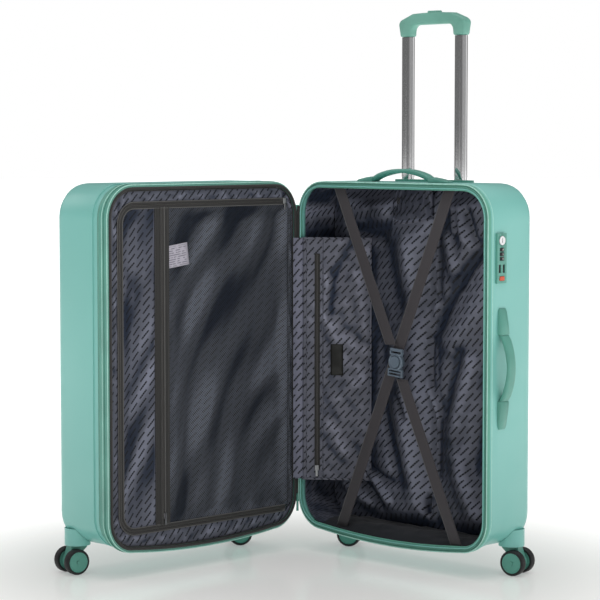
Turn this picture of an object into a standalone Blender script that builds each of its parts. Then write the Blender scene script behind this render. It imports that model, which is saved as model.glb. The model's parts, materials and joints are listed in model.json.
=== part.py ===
"""Hard shell suitcase on four twin-wheel casters, standing open at a right angle.

Metres, +Z up.  Each half of the case is described in its own numbers: u runs across
the case from the hinge line, d runs from the zipped rim back to the flat face, z is
height.  The back half lies along +X with its depth along +Y.  The front half stands
open, so its u runs along -Y and its depth along -X.
"""
import math

import bmesh
import bpy
from mathutils import Matrix, Vector

# ---- driving dimensions -------------------------------------------------------
HINGE_GAP = 0.003           # from the hinge line to the side wall of either half
CASE_WIDTH = 0.5024         # from the hinge line to the far side wall
CASE_TOP = 0.7484
CASE_BOTTOM = 0.0484        # at the rim, beside its crown
BOTTOM_RISE = 0.0081        # how much higher the bottom is over the casters
BOTTOM_CROWN = 0.011        # sag of the rim's bottom edge
RISE_DEPTH = 0.050
CORNER_R = 0.0645
EDGE_R = 0.022              # rounding between side walls and flat face
BACK_DEPTH = 0.135
FRONT_DEPTH = 0.152
WALL = 0.003
PARTING = 0.0008            # each half stops this far short of the closing plane
GAP = 0.0004                # between neighbours that touch
LINING_INSET = 0.0066
LINING_SKIN = 0.0012
BACK_LINING_DEPTH = 0.099
FRONT_LINING_DEPTH = 0.140

BACK_RIM = 0.009            # where the back shell ends and its zip tape starts
FRONT_BAND = 0.0225         # depth of the zipped band of the front half
FRONT_RIM = 0.029           # where the front shell starts, past the expansion zip
EXPANSION = 0.035
TAPE_INSET = 0.013
HINGE_TAPE_INSET = 0.0045

DIVIDER_FRONT = 0.0045
DIVIDER_BACK = 0.0062
DIVIDER_HINGE_U = 0.0212
DIVIDER_OUTER_U = 0.4665
DIVIDER_TOP_INSET = 0.0400
DIVIDER_BOTTOM_INSET = 0.0396
DIVIDER_R = 0.035
DIVIDER_HINGE_R = 0.012

FLAP_AXIS = (0.0095, 0.0015)
FLAP_ANGLE = math.radians(38.0)
FLAP_WIDTH = 0.1424
FLAP_BOTTOM = 0.1433
FLAP_TOP = 0.6351
FLAP_THICK = 0.0024

STRAP_WIDTH = 0.026
STRAP_THICK = 0.0015
STRAP_TOP_Z = 0.740
STRAP_BOTTOM_Z = 0.0575
STRAP_A = (0.103, 0.416, 0.0130)      # u at the top, u at the bottom, depth
STRAP_B = (0.390, 0.106, 0.0200)
BUCKLE_Z = 0.3995
BUCKLE_FRONT = 0.0085
BUCKLE_BACK = 0.0175

TROLLEY_U = 0.266
TROLLEY_D = 0.1135
POLE_SPACING = 0.138
POLE_W = 0.028
POLE_T = 0.016
OUTER_W = 0.0312
OUTER_T = 0.0192
TUBE_WALL = 0.0013
POLE_TOP = 1.0325
POLE_BOTTOM = 0.600
OUTER_TUBE_BOTTOM = 0.095
TROLLEY_STROKE = 0.275
BEZEL_TOP = 0.7525
BEZEL_BOTTOM = 0.7385
GRIP_BOTTOM = 1.0330
GRIP_UNDER = 1.0560
GRIP_TOP = 1.0790
GRIP_LENGTH = 0.171
GRIP_DEPTH = 0.024

CASTER_INSET = 0.028
CASTER_TRAIL = 0.013
WHEEL_R = 0.0247
WHEEL_W = 0.0155
WHEEL_SPACING = 0.0400
AXLE_R = 0.003
HOUSING_R = 0.025
HOUSING_BOTTOM = 0.0546
HOUSING_TOP = 0.0875
FORK_TOP = 0.0540

LOCK_D = 0.0338
LOCK_BOTTOM = 0.5636
LOCK_TOP = 0.6573
LOCK_WIDTH = 0.0265
LOCK_THICK = 0.0045
DIAL_R = 0.006
DIAL_W = 0.0062
DIAL_PITCH = 0.0085
DIAL_TOP_Z = 0.6265
KEY_Z = 0.6435
KEY_R = 0.0085
LOCK_BUTTON_Z = 0.5725

CORNER_STEPS = 8
EDGE_STEPS = 7

# ---- materials ----------------------------------------------------------------
COLOURS = {
    "shell": ((0.30, 0.60, 0.50), 0.38, 0.0),
    "trim": ((0.20, 0.48, 0.38), 0.42, 0.0),
    "chrome": ((0.75, 0.75, 0.76), 0.12, 1.0),
    "fabric": ((0.07, 0.075, 0.095), 0.85, 0.0),
    "tape": ((0.045, 0.045, 0.042), 0.80, 0.0),
    "webbing": ((0.07, 0.065, 0.068), 0.80, 0.0),
    "buckle": ((0.09, 0.12, 0.15), 0.40, 0.0),
    "black": ((0.02, 0.02, 0.02), 0.45, 0.0),
    "tyre": ((0.015, 0.015, 0.016), 0.55, 0.0),
    "red": ((0.65, 0.10, 0.04), 0.40, 0.0),
}


def material(name):
    found = bpy.data.materials.get(name)
    if found:
        return found
    colour, rough, metal = COLOURS[name]
    made = bpy.data.materials.new(name)
    made.use_nodes = True
    shader = made.node_tree.nodes["Principled BSDF"]
    shader.inputs["Base Color"].default_value = (*colour, 1.0)
    shader.inputs["Roughness"].default_value = rough
    shader.inputs["Metallic"].default_value = metal
    return made


# ---- placing ------------------------------------------------------------------
BACK = Matrix.Identity(4)
FRONT = Matrix(((0, -1, 0, 0), (-1, 0, 0, 0), (0, 0, 1, 0), (0, 0, 0, 1)))
pivots = {}


def pivot(name, place, parent=None):
    """An empty on a joint's axis; place is a point of the standing case."""
    empty = bpy.data.objects.new(name, None)
    empty.empty_display_size = 0.02
    bpy.context.scene.collection.objects.link(empty)
    spot = Vector(place)
    if parent:
        empty.parent = pivots[parent][0]
        empty.location = spot - pivots[parent][1]
    else:
        empty.location = spot
    pivots[name] = (empty, spot)
    return empty


def finish(bm, name, finish_name, body, half=BACK):
    """Put a closed mesh given in a half's numbers on the empty of its body."""
    bm.transform(half)
    empty, spot = pivots[body]
    bm.transform(Matrix.Translation(-spot))
    bmesh.ops.recalc_face_normals(bm, faces=bm.faces)
    mesh = bpy.data.meshes.new(name)
    bm.to_mesh(mesh)
    bm.free()
    mesh.materials.append(material(finish_name))
    obj = bpy.data.objects.new(name, mesh)
    bpy.context.scene.collection.objects.link(obj)
    obj.parent = empty
    mesh.shade_smooth()
    mesh.set_sharp_from_angle(angle=math.radians(32.0))
    return obj


def as_cutter(obj):
    obj.hide_render = True
    obj.display_type = "WIRE"
    return obj


def cut(target, cutter):
    """Take the cutter's volume out of the target."""
    step = target.modifiers.new("cut", "BOOLEAN")
    step.operation = "DIFFERENCE"
    step.solver = "EXACT"
    step.object = as_cutter(cutter)
    return step


def bevel(obj, width, segments=2, angle=40.0):
    step = obj.modifiers.new("round", "BEVEL")
    step.width = width
    step.segments = segments
    step.limit_method = "ANGLE"
    step.angle_limit = math.radians(angle)
    return step


# ---- mesh building ------------------------------------------------------------
def loft(rings, closed=False):
    """Skin a list of point rings; the ends are capped unless the rings close."""
    bm = bmesh.new()
    rows = [[bm.verts.new(p) for p in ring] for ring in rings]
    pairs = list(zip(rows, rows[1:]))
    if closed:
        pairs.append((rows[-1], rows[0]))
    for low, high in pairs:
        count = len(low)
        for i in range(count):
            j = (i + 1) % count
            bm.faces.new((low[i], low[j], high[j], high[i]))
    if not closed:
        bm.faces.new(rows[0])
        bm.faces.new(rows[-1])
    return bm


def arc(centre, radius, start, stop, steps):
    """Points on a circle, angles in degrees, both ends included."""
    out = []
    for i in range(steps + 1):
        a = math.radians(start + (stop - start) * i / steps)
        out.append((centre[0] + radius * math.cos(a), centre[1] + radius * math.sin(a)))
    return out


def outline(u0, u1, z0, z1, radii, crown=0.0):
    """Rounded rectangle as (u, z) points from the lower hinge corner, anticlockwise."""
    bl, br, tr, tl = radii
    points = arc((u0 + bl, z0 + bl), bl, 180, 270, CORNER_STEPS)
    span0 = u0 + bl
    span1 = u1 - br
    for i in range(1, EDGE_STEPS):
        t = i / EDGE_STEPS
        sag = crown * (1.0 - (2.0 * t - 1.0) ** 2)
        points.append((span0 + (span1 - span0) * t, z0 - sag))
    points += arc((u1 - br, z0 + br), br, 270, 360, CORNER_STEPS)
    points += arc((u1 - tr, z1 - tr), tr, 0, 90, CORNER_STEPS)
    points += arc((u0 + tl, z1 - tl), tl, 90, 180, CORNER_STEPS)
    return points


def smoothstep(t):
    t = min(max(t, 0.0), 1.0)
    return t * t * (3.0 - 2.0 * t)


def case_ring(d, inset, hinge_inset=None):
    """The case's outline at depth d, pulled in by an inset."""
    left = inset if hinge_inset is None else hinge_inset
    s = smoothstep(d / RISE_DEPTH)
    r = max(CORNER_R - inset, 0.004)
    z0 = CASE_BOTTOM + BOTTOM_RISE * s + inset
    flat = outline(HINGE_GAP + left, CASE_WIDTH - inset, z0, CASE_TOP - inset,
                   (r, r, r, r), BOTTOM_CROWN * (1.0 - s))
    return [(u, d, z) for u, z in flat]


def wall_steps(rim, depth, edge_r, inset):
    """Depth and inset of each ring of a tub's wall, from its rim to its flat face."""
    steps = [(rim, inset)]
    steps += [(d, inset) for d in (0.018, 0.034, RISE_DEPTH) if rim + 0.004 < d]
    for i in range(5):
        a = math.radians(90.0 * i / 4)
        steps.append((depth - edge_r + edge_r * math.sin(a),
                      inset + edge_r * (1.0 - math.cos(a))))
    return steps


def tub(outer_steps, inner_steps):
    """A tub open at its rim: the inner wall runs out to the rim, the outer one back."""
    rings = [case_ring(d, i) for d, i in reversed(inner_steps)]
    rings += [case_ring(d, i) for d, i in outer_steps]
    return loft(rings)


def box(u0, u1, d0, d1, z0, z1):
    ring0 = [(u0, d0, z0), (u1, d0, z0), (u1, d0, z1), (u0, d0, z1)]
    ring1 = [(u, d1, z) for u, _, z in ring0]
    return loft([ring0, ring1])


def rod(centre, radius, length, axis="Z", steps=24, turn=0.0):
    """A plain cylinder that starts at centre and runs along +axis."""
    rings = []
    for h in (0.0, length):
        ring = []
        for i in range(steps):
            a = 2.0 * math.pi * i / steps + turn
            c = radius * math.cos(a)
            s = radius * math.sin(a)
            p = {"Z": (c, s, h), "X": (h, c, s), "Y": (s, h, c)}[axis]
            ring.append(tuple(centre[k] + p[k] for k in range(3)))
        rings.append(ring)
    return loft(rings)


def stadium(centre_u, centre_d, width, thick, steps=8):
    """A slot shape as (u, d) points."""
    r = thick / 2.0
    reach = width / 2.0 - r
    points = arc((centre_u + reach, centre_d), r, -90, 90, steps)
    points += arc((centre_u - reach, centre_d), r, 90, 270, steps)
    return points


def raise_ring(points, z):
    return [(u, d, z) for u, d in points]


def extrude_profile(points, d0, d1):
    """A (u, z) outline pushed through from depth d0 to d1."""
    return loft([[(u, d0, z) for u, z in points], [(u, d1, z) for u, z in points]])


# ---- the two shells and what lines them ----------------------------------------
def back_shell():
    outer = [(BACK_RIM, 0.0006)] + wall_steps(0.0102, BACK_DEPTH, EDGE_R, 0.0)
    inner = wall_steps(BACK_RIM, BACK_DEPTH - WALL, EDGE_R - WALL, WALL)
    shell = finish(tub(outer, inner), "back_shell", "shell", "case")
    slot = stadium(TROLLEY_U, TROLLEY_D, POLE_SPACING + 0.060, 0.0300)
    opening = loft([raise_ring(slot, 0.730), raise_ring(slot, 0.760)])
    cut(shell, finish(opening, "trolley_opening", "shell", "case"))
    half = LOCK_WIDTH / 2.0 - 0.004
    window = box(CASE_WIDTH - 0.006, CASE_WIDTH + 0.003, LOCK_D - half, LOCK_D + half,
                 LOCK_BOTTOM + 0.004, LOCK_TOP - 0.004)
    cut(shell, finish(window, "lock_window", "shell", "case"))


def back_zip_tape():
    profile = [(PARTING, 0.0006), (BACK_RIM - 0.0003, 0.0006), (BACK_RIM - 0.0003, 0.0024),
               (0.0034, 0.0024), (0.0038, TAPE_INSET), (0.0020, TAPE_INSET)]
    rings = [case_ring(d, i, min(i, HINGE_TAPE_INSET)) for d, i in profile]
    finish(loft(rings, closed=True), "back_zip_tape", "trim", "case")


def lining(name, start, depth, body, half):
    outer = wall_steps(start, depth, 0.014, LINING_INSET)
    inner = wall_steps(start, depth - LINING_SKIN, 0.014 - LINING_SKIN,
                       LINING_INSET + LINING_SKIN)
    finish(tub(outer, inner), name, "fabric", body, half)


def front_shell():
    outer = [(FRONT_RIM, 0.0020), (0.0400, 0.0020), (0.0415, 0.0003)]
    outer += wall_steps(RISE_DEPTH, FRONT_DEPTH, EDGE_R, 0.0)
    inner = wall_steps(FRONT_RIM, FRONT_DEPTH - WALL, EDGE_R - WALL, WALL + 0.0015)
    finish(tub(outer, inner), "front_shell", "shell", "front_case", FRONT)


def lid_rim():
    profile = [(PARTING, 0.0006), (FRONT_BAND, 0.0006), (FRONT_BAND, 0.0026),
               (0.0034, 0.0026), (0.0034, 0.0112), (PARTING, 0.0112)]
    rings = [case_ring(d, i, min(i, HINGE_TAPE_INSET)) for d, i in profile]
    finish(loft(rings, closed=True), "lid_rim", "trim", "lid", FRONT)


def divider_outline(grow):
    """The divider panel's own outline, grown or shrunk."""
    radii = [r + grow for r in (DIVIDER_HINGE_R, DIVIDER_R, DIVIDER_R, DIVIDER_HINGE_R)]
    return outline(DIVIDER_HINGE_U - grow, DIVIDER_OUTER_U + grow,
                   CASE_BOTTOM + DIVIDER_BOTTOM_INSET - grow,
                   CASE_TOP - DIVIDER_TOP_INSET + grow, radii, 0.0)


def divider_border():
    rings = []
    for d in (DIVIDER_FRONT, DIVIDER_BACK):
        rings.append([(u, d, z) for u, z in divider_outline(0.0006)])
    for d in (DIVIDER_BACK, DIVIDER_FRONT):
        ring = case_ring(0.0, 0.0116, HINGE_TAPE_INSET + 0.0004)
        rings.append([(u, d, z) for u, _, z in ring])
    finish(loft(rings, closed=True), "divider_border", "fabric", "lid", FRONT)


def divider_panel():
    finish(extrude_profile(divider_outline(0.0), DIVIDER_FRONT, DIVIDER_BACK),
           "divider_panel", "fabric", "divider", FRONT)


def zip_slider(name, centre_u, front_d, centre_z, body, half, along="Z"):
    """A small zip slider with its pull tab hanging or lying along the track."""
    long, wide = (0.0115, 0.0035) if along == "Z" else (0.0035, 0.0115)
    bm = box(centre_u - wide, centre_u + wide, front_d, front_d + 0.0030,
             centre_z - long, centre_z + long)
    bevel(finish(bm, name, "black", body, half), 0.0010, 1)


# ---- hinge line, pocket flap and packing straps --------------------------------
def spine():
    """The textile hinge between the halves, and the end puller under it."""
    finish(rod((0, 0, 0.118), 0.0018, 0.562, steps=10), "spine_tape", "fabric", "case")
    tab = box(-0.0024, 0.0024, -0.0010, 0.0010, 0.0780, 0.1130)
    turn = Matrix.Rotation(math.radians(45.0), 4, "Z")
    tab.transform(turn)
    bevel(finish(tab, "main_zip_puller", "trim", "puller"), 0.0006, 1)


def pocket_flap():
    turn = Matrix.Translation((*FLAP_AXIS, 0)) @ Matrix.Rotation(FLAP_ANGLE, 4, "Z")
    half_thick = FLAP_THICK / 2.0
    page = box(0.0012, FLAP_WIDTH, -half_thick, half_thick, FLAP_BOTTOM, FLAP_TOP)
    page.transform(turn)
    finish(page, "pocket_flap", "fabric", "flap")
    slider = box(0.0285, 0.0355, -half_thick - 0.0034, -half_thick - 0.0004, 0.1560, 0.1790)
    slider.transform(turn)
    bevel(finish(slider, "flap_zip_slider", "black", "flap_slider"), 0.0010, 1)


def strap_u(strap, z):
    """Where a strap's middle is at a height."""
    top, bottom, _ = strap
    return top + (bottom - top) * (STRAP_TOP_Z - z) / (STRAP_TOP_Z - STRAP_BOTTOM_Z)


def strap_piece(name, strap, z_low, z_high):
    """A straight run of webbing between two heights."""
    slope = (strap[1] - strap[0]) / (STRAP_TOP_Z - STRAP_BOTTOM_Z)
    half = STRAP_WIDTH * math.hypot(1.0, slope) / 2.0
    low = strap_u(strap, z_low)
    high = strap_u(strap, z_high)
    flat = [(low - half, z_low), (low + half, z_low), (high + half, z_high),
            (high - half, z_high)]
    front = strap[2] - STRAP_THICK / 2.0
    finish(extrude_profile(flat, front, front + STRAP_THICK), name, "webbing", "case")


def buckle():
    """Two halves of the buckle in line with strap A, and the disc that releases it."""
    slope = math.atan2(STRAP_A[1] - STRAP_A[0], STRAP_TOP_Z - STRAP_BOTTOM_Z)
    place = Matrix.Translation((strap_u(STRAP_A, BUCKLE_Z), 0, BUCKLE_Z))
    place = place @ Matrix.Rotation(-slope, 4, "Y")
    socket = box(-0.0150, 0.0150, BUCKLE_FRONT, BUCKLE_BACK, -0.0130, 0.0285)
    socket.transform(place)
    socket = finish(socket, "buckle_socket", "buckle", "case")
    hole = rod((0, BUCKLE_FRONT - 0.002, 0), 0.0122, 0.0065, "Y", 24)
    hole.transform(place)
    cut(socket, finish(hole, "buckle_hole", "buckle", "case"))
    plug = box(-0.0145, 0.0145, BUCKLE_FRONT, BUCKLE_BACK, -0.0285, -0.0134)
    plug.transform(place)
    bevel(finish(plug, "buckle_plug", "buckle", "case"), 0.0015, 2)
    disc = rod((0, BUCKLE_FRONT - 0.0012, 0), 0.0116, 0.0036, "Y", 24)
    disc.transform(place)
    finish(disc, "buckle_button", "buckle", "buckle_press")
    reach = 0.0285 * math.cos(slope) + 0.0150 * math.sin(slope) + GAP
    strap_piece("strap_a_upper", STRAP_A, BUCKLE_Z + reach, STRAP_TOP_Z)
    strap_piece("strap_a_lower", STRAP_A, STRAP_BOTTOM_Z, BUCKLE_Z - reach)
    strap_piece("strap_b", STRAP_B, STRAP_BOTTOM_Z, STRAP_TOP_Z)


# ---- telescopic handle ----------------------------------------------------------
def tube(name, u, width, thick, z0, z1, finish_name, body):
    outer = stadium(u, TROLLEY_D, width, thick)
    inner = stadium(u, TROLLEY_D, width - 2 * TUBE_WALL, thick - 2 * TUBE_WALL)
    rings = [raise_ring(outer, z0), raise_ring(outer, z1), raise_ring(inner, z1),
             raise_ring(inner, z0)]
    finish(loft(rings, closed=True), name, finish_name, body)


def trolley():
    for side, name in ((-1, "left"), (1, "right")):
        u = TROLLEY_U + side * POLE_SPACING / 2.0
        tube("outer_tube_" + name, u, OUTER_W, OUTER_T, OUTER_TUBE_BOTTOM,
             BEZEL_BOTTOM - GAP, "chrome", "case")
        tube("pole_" + name, u, POLE_W, POLE_T, POLE_BOTTOM, POLE_TOP, "chrome", "trolley")
    foot = stadium(TROLLEY_U, TROLLEY_D, POLE_SPACING + 0.046, 0.024)
    finish(loft([raise_ring(foot, 0.080), raise_ring(foot, OUTER_TUBE_BOTTOM - GAP)]),
           "trolley_foot", "black", "case")
    plate = stadium(TROLLEY_U, TROLLEY_D, POLE_SPACING + 0.0592, 0.0292)
    bezel = loft([raise_ring(plate, BEZEL_BOTTOM), raise_ring(plate, BEZEL_TOP)])
    bezel = finish(bezel, "trolley_bezel", "trim", "case")
    for side in (-1, 1):
        u = TROLLEY_U + side * POLE_SPACING / 2.0
        ring = stadium(u, TROLLEY_D, POLE_W + 0.0010, POLE_T + 0.0010)
        hole = loft([raise_ring(ring, BEZEL_BOTTOM - 0.005), raise_ring(ring, BEZEL_TOP + 0.005)])
        cut(bezel, finish(hole, "bezel_hole", "trim", "case"))


def grip():
    """The pull grip: two legs over the poles, a bowed top and a press button."""
    half = GRIP_LENGTH / 2.0
    left = TROLLEY_U - half
    right = TROLLEY_U + half
    leg = POLE_W + 0.0035
    bow = 0.0035
    points = [(left, GRIP_BOTTOM), (left + leg, GRIP_BOTTOM)]
    points += reversed(arc((left + leg + 0.012, GRIP_UNDER - 0.012), 0.012, 90, 180, 4))
    points += reversed(arc((right - leg - 0.012, GRIP_UNDER - 0.012), 0.012, 0, 90, 4))
    points += [(right - leg, GRIP_BOTTOM), (right, GRIP_BOTTOM)]
    points += arc((right - 0.010, GRIP_TOP - bow - 0.010), 0.010, 0, 75, 4)
    for i in range(5, 0, -1):
        t = i / 6.0
        points.append((left + 0.010 + (GRIP_LENGTH - 0.020) * t,
                       GRIP_TOP - bow + bow * (1 - (2 * t - 1) ** 2)))
    points += arc((left + 0.010, GRIP_TOP - bow - 0.010), 0.010, 105, 180, 4)
    body = extrude_profile(points, TROLLEY_D - GRIP_DEPTH / 2, TROLLEY_D + GRIP_DEPTH / 2)
    body = finish(body, "pull_grip", "trim", "trolley")
    bevel(body, 0.0040, 2)
    well = stadium(TROLLEY_U, TROLLEY_D, 0.0345, 0.0130)
    well = loft([raise_ring(well, GRIP_TOP - 0.009), raise_ring(well, GRIP_TOP + 0.009)])
    cut(body, finish(well, "button_well", "trim", "trolley"))
    cap = stadium(TROLLEY_U, TROLLEY_D, 0.0335, 0.0120)
    button = loft([raise_ring(cap, GRIP_TOP - 0.0035), raise_ring(cap, GRIP_TOP + 0.0035)])
    bevel(finish(button, "grip_button", "trim", "grip_press"), 0.0012, 1)


# ---- carry handles --------------------------------------------------------------
def handle_section(centre, along, out, across, width, thick, steps=4):
    """One rounded section of a handle, square to the way it runs."""
    del along
    r = thick * 0.42
    points = []
    for k, (sx, sy) in enumerate(((1, 1), (-1, 1), (-1, -1), (1, -1))):
        for i in range(steps):
            a = math.radians(90.0 * k + 90.0 * i / (steps - 1))
            x = sx * (width / 2 - r) + r * math.cos(a)
            y = sy * (thick / 2 - r) + r * math.sin(a)
            points.append(tuple(centre + across * x + out * y))
    return points


def arch_handle(name, start, stop, out, across, body, height, lift):
    """A bowed bar between two end caps.  start and stop lie on the case wall."""
    run = stop - start
    rings = []
    count = 12
    for i in range(count + 1):
        t = i / count
        rise = lift + height * math.sin(math.pi * t) ** 0.75
        slope = math.cos(math.pi * t) * height * 2.2 / run.length
        along = (run.normalized() + out * slope).normalized()
        normal = (out - along * out.dot(along)).normalized()
        swell = 0.0075 + 0.0025 * abs(math.cos(math.pi * t))
        centre = start + run * t + out * rise
        if i in (0, count):
            normal = out
        rings.append(handle_section(centre, along, normal, across, 0.021, swell))
    finish(loft(rings), name, "trim", body)


def end_cap(name, start, stop, out, across, height):
    """A wedge that rises from the wall (start) to the handle (stop)."""
    rings = []
    run = stop - start
    for t, h, w in ((0.0, 0.0028, 0.017), (0.12, 0.0045, 0.022), (0.6, height * 0.82, 0.024),
                    (0.94, height, 0.024), (1.0, height - 0.0012, 0.023)):
        base = start + run * t
        r = min(0.0025, h * 0.4)
        ring = [base + across * (-w / 2) + out * GAP, base + across * (w / 2) + out * GAP,
                base + across * (w / 2) + out * (h - r),
                base + across * (w / 2 - r) + out * h,
                base + across * (-w / 2 + r) + out * h,
                base + across * (-w / 2) + out * (h - r)]
        rings.append([tuple(p) for p in ring])
    finish(loft(rings), name, "trim", "case")


def carry_handles():
    up = Vector((0, 0, 1))
    side = Vector((1, 0, 0))
    depth = Vector((0, 1, 0))

    def top(u):
        return Vector((u, 0.047, CASE_TOP))

    def flank(z):
        return Vector((CASE_WIDTH, 0.040, z))

    end_cap("top_cap_hinge", top(0.129), top(0.1715), up, depth, 0.0105)
    end_cap("top_cap_outer", top(0.366), top(0.3195), up, depth, 0.0105)
    arch_handle("top_handle", top(0.1720), top(0.3190), up, depth, "top_lift", 0.0165, 0.0056)
    end_cap("side_cap_upper", flank(0.516), flank(0.4660), side, depth, 0.0110)
    end_cap("side_cap_lower", flank(0.2877), flank(0.3415), side, depth, 0.0110)
    arch_handle("side_handle", flank(0.4655), flank(0.3420), side, depth, "side_lift",
                0.0180, 0.0058)


# ---- combination lock -----------------------------------------------------------
def lock():
    half = LOCK_WIDTH / 2.0
    face = CASE_WIDTH + GAP
    plate = box(face, face + LOCK_THICK, LOCK_D - half, LOCK_D + half, LOCK_BOTTOM, LOCK_TOP)
    plate = finish(plate, "lock_plate", "trim", "case")
    well = rod((face - 0.002, LOCK_D, KEY_Z), KEY_R + GAP, LOCK_THICK + 0.01, "X", 24)
    cut(plate, finish(well, "key_well", "trim", "case"))
    for i in range(3):
        z = DIAL_TOP_Z - i * DIAL_PITCH
        slot = box(face - 0.002, face + 0.010, LOCK_D - DIAL_R - 0.0006,
                   LOCK_D + DIAL_R + 0.0006, z - DIAL_W / 2 - GAP, z + DIAL_W / 2 + GAP)
        cut(plate, finish(slot, "dial_slot", "trim", "case"))
        dial = rod((CASE_WIDTH + 0.0012, LOCK_D, z - DIAL_W / 2), DIAL_R, DIAL_W, "Z", 20)
        finish(dial, "lock_dial_%d" % (i + 1), "black", "dial_%d" % (i + 1))
    for shift in (-0.0058, 0.0058):
        slot = box(face + 0.0020, face + 0.010, LOCK_D + shift - 0.0034,
                   LOCK_D + shift + 0.0034, 0.5830, 0.5985)
        cut(plate, finish(slot, "puller_slot", "trim", "case"))
    window = box(face - 0.002, face + 0.010, LOCK_D - 0.0070, LOCK_D + 0.0070,
                 LOCK_BUTTON_Z - 0.0045, LOCK_BUTTON_Z + 0.0045)
    cut(plate, finish(window, "button_window", "trim", "case"))
    button = box(face + 0.0004, face + LOCK_THICK + 0.0018, LOCK_D - 0.0064, LOCK_D + 0.0064,
                 LOCK_BUTTON_Z - 0.0039, LOCK_BUTTON_Z + 0.0039)
    bevel(finish(button, "lock_button", "red", "lock_press"), 0.0008, 1)
    key = rod((face + 0.0006, LOCK_D, KEY_Z), KEY_R, LOCK_THICK + 0.0004, "X", 24)
    key = finish(key, "key_cylinder", "chrome", "key_turn")
    slit = box(face + LOCK_THICK - 0.0010, face + 0.010, LOCK_D - 0.0008, LOCK_D + 0.0008,
               KEY_Z - 0.0045, KEY_Z + 0.0045)
    cut(key, finish(slit, "key_slit", "black", "key_turn"))


# ---- casters --------------------------------------------------------------------
def lathe(profile, axis_point, direction, steps):
    """Turn a closed (radius, along) profile about an axis through axis_point."""
    frame = direction.to_track_quat("Z", "Y").to_matrix().to_4x4()
    frame.translation = axis_point
    rings = []
    for i in range(steps):
        a = 2.0 * math.pi * i / steps
        ring = [frame @ Vector((r * math.cos(a), r * math.sin(a), h)) for r, h in profile]
        rings.append([tuple(p) for p in ring])
    return loft(rings, closed=True)


def wheel_profile():
    w = WHEEL_W / 2.0
    bore = AXLE_R + 0.0003
    return [(bore, -w + 0.002), (0.0180, -w + 0.002), (0.0195, -w), (WHEEL_R - 0.0015, -w),
            (WHEEL_R, -w + 0.0025), (WHEEL_R, w - 0.0025), (WHEEL_R - 0.0015, w),
            (0.0195, w), (0.0180, w - 0.0015), (bore, w - 0.0015)]


def fork_profile():
    """Side view of the fork as (trail, z): top plate down to the hub of the axle."""
    points = [(-0.0150, FORK_TOP), (-0.0150, FORK_TOP - 0.0036), (-0.0080, 0.0440)]
    points += arc((CASTER_TRAIL, WHEEL_R), 0.0150, 160, 400, 12)
    points += [(0.0190, FORK_TOP - 0.0036), (0.0190, FORK_TOP)]
    return points


def caster(name, half, body, u, d, trail_u, trail_d):
    """Housing, fork, axle and two wheels.  The trail is given in the half's u and d."""
    frame_spot = half @ Vector((u, d, 0))
    trail = (half.to_3x3() @ Vector((trail_u, trail_d, 0))).normalized()
    axle = Vector((-trail.y, trail.x, 0))
    housing = rod((u, d, HOUSING_BOTTOM), HOUSING_R, HOUSING_TOP - HOUSING_BOTTOM, "Z", 24)
    housing = finish(housing, "caster_housing_" + name, "trim", body, half)
    depth = BACK_DEPTH if half is BACK else FRONT_DEPTH
    steps = wall_steps(0.030, depth + GAP, EDGE_R + GAP, -GAP)
    solid = loft([case_ring(s, i) for s, i in steps])
    cut(housing, finish(solid, "case_volume", "trim", body, half))
    swivel = "swivel_" + name
    pivot(swivel, (frame_spot.x, frame_spot.y, FORK_TOP), body)
    turn = Matrix.Identity(4)
    turn.col[0] = (*trail, 0)
    turn.col[1] = (*axle, 0)
    turn.translation = (frame_spot.x, frame_spot.y, 0)
    fork = extrude_profile(fork_profile(), -0.0105, 0.0105)
    fork.transform(turn)
    fork = finish(fork, "caster_fork_" + name, "trim", swivel)
    hub = turn @ Vector((CASTER_TRAIL, 0, WHEEL_R))
    drill = rod((0, 0, -0.02), AXLE_R + 0.0003, 0.04, "Z", 12)
    lay = axle.to_track_quat("Z", "Y").to_matrix().to_4x4()
    lay.translation = hub
    drill.transform(lay)
    cut(fork, finish(drill, "axle_bore", "black", swivel))
    reach = WHEEL_SPACING / 2.0 + WHEEL_W / 2.0
    pin = rod((0, 0, -reach), AXLE_R, 2 * reach, "Z", 12)
    pin.transform(lay)
    finish(pin, "caster_axle_" + name, "chrome", swivel)
    for side, label in ((-1, "a"), (1, "b")):
        centre = hub + axle * side * WHEEL_SPACING / 2.0
        spin = "spin_" + name + "_" + label
        pivot(spin, centre, swivel)
        wheel = lathe(wheel_profile(), centre, axle * side, 24)
        finish(wheel, "wheel_" + name + "_" + label, "tyre", spin)


def casters():
    far = CASE_WIDTH - CASTER_INSET
    near = HINGE_GAP + CASTER_INSET
    back_d = BACK_DEPTH - CASTER_INSET
    front_d = FRONT_DEPTH - CASTER_INSET
    caster("back_outer", BACK, "case", far, back_d, 0.972, 0.236)
    caster("back_hinge", BACK, "case", near, back_d, 0.85, 0.53)
    caster("front_outer", FRONT, "front_case", far, front_d, 0.983, 0.192)
    caster("front_hinge", FRONT, "front_case", near, front_d, 0.85, 0.53)


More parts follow.
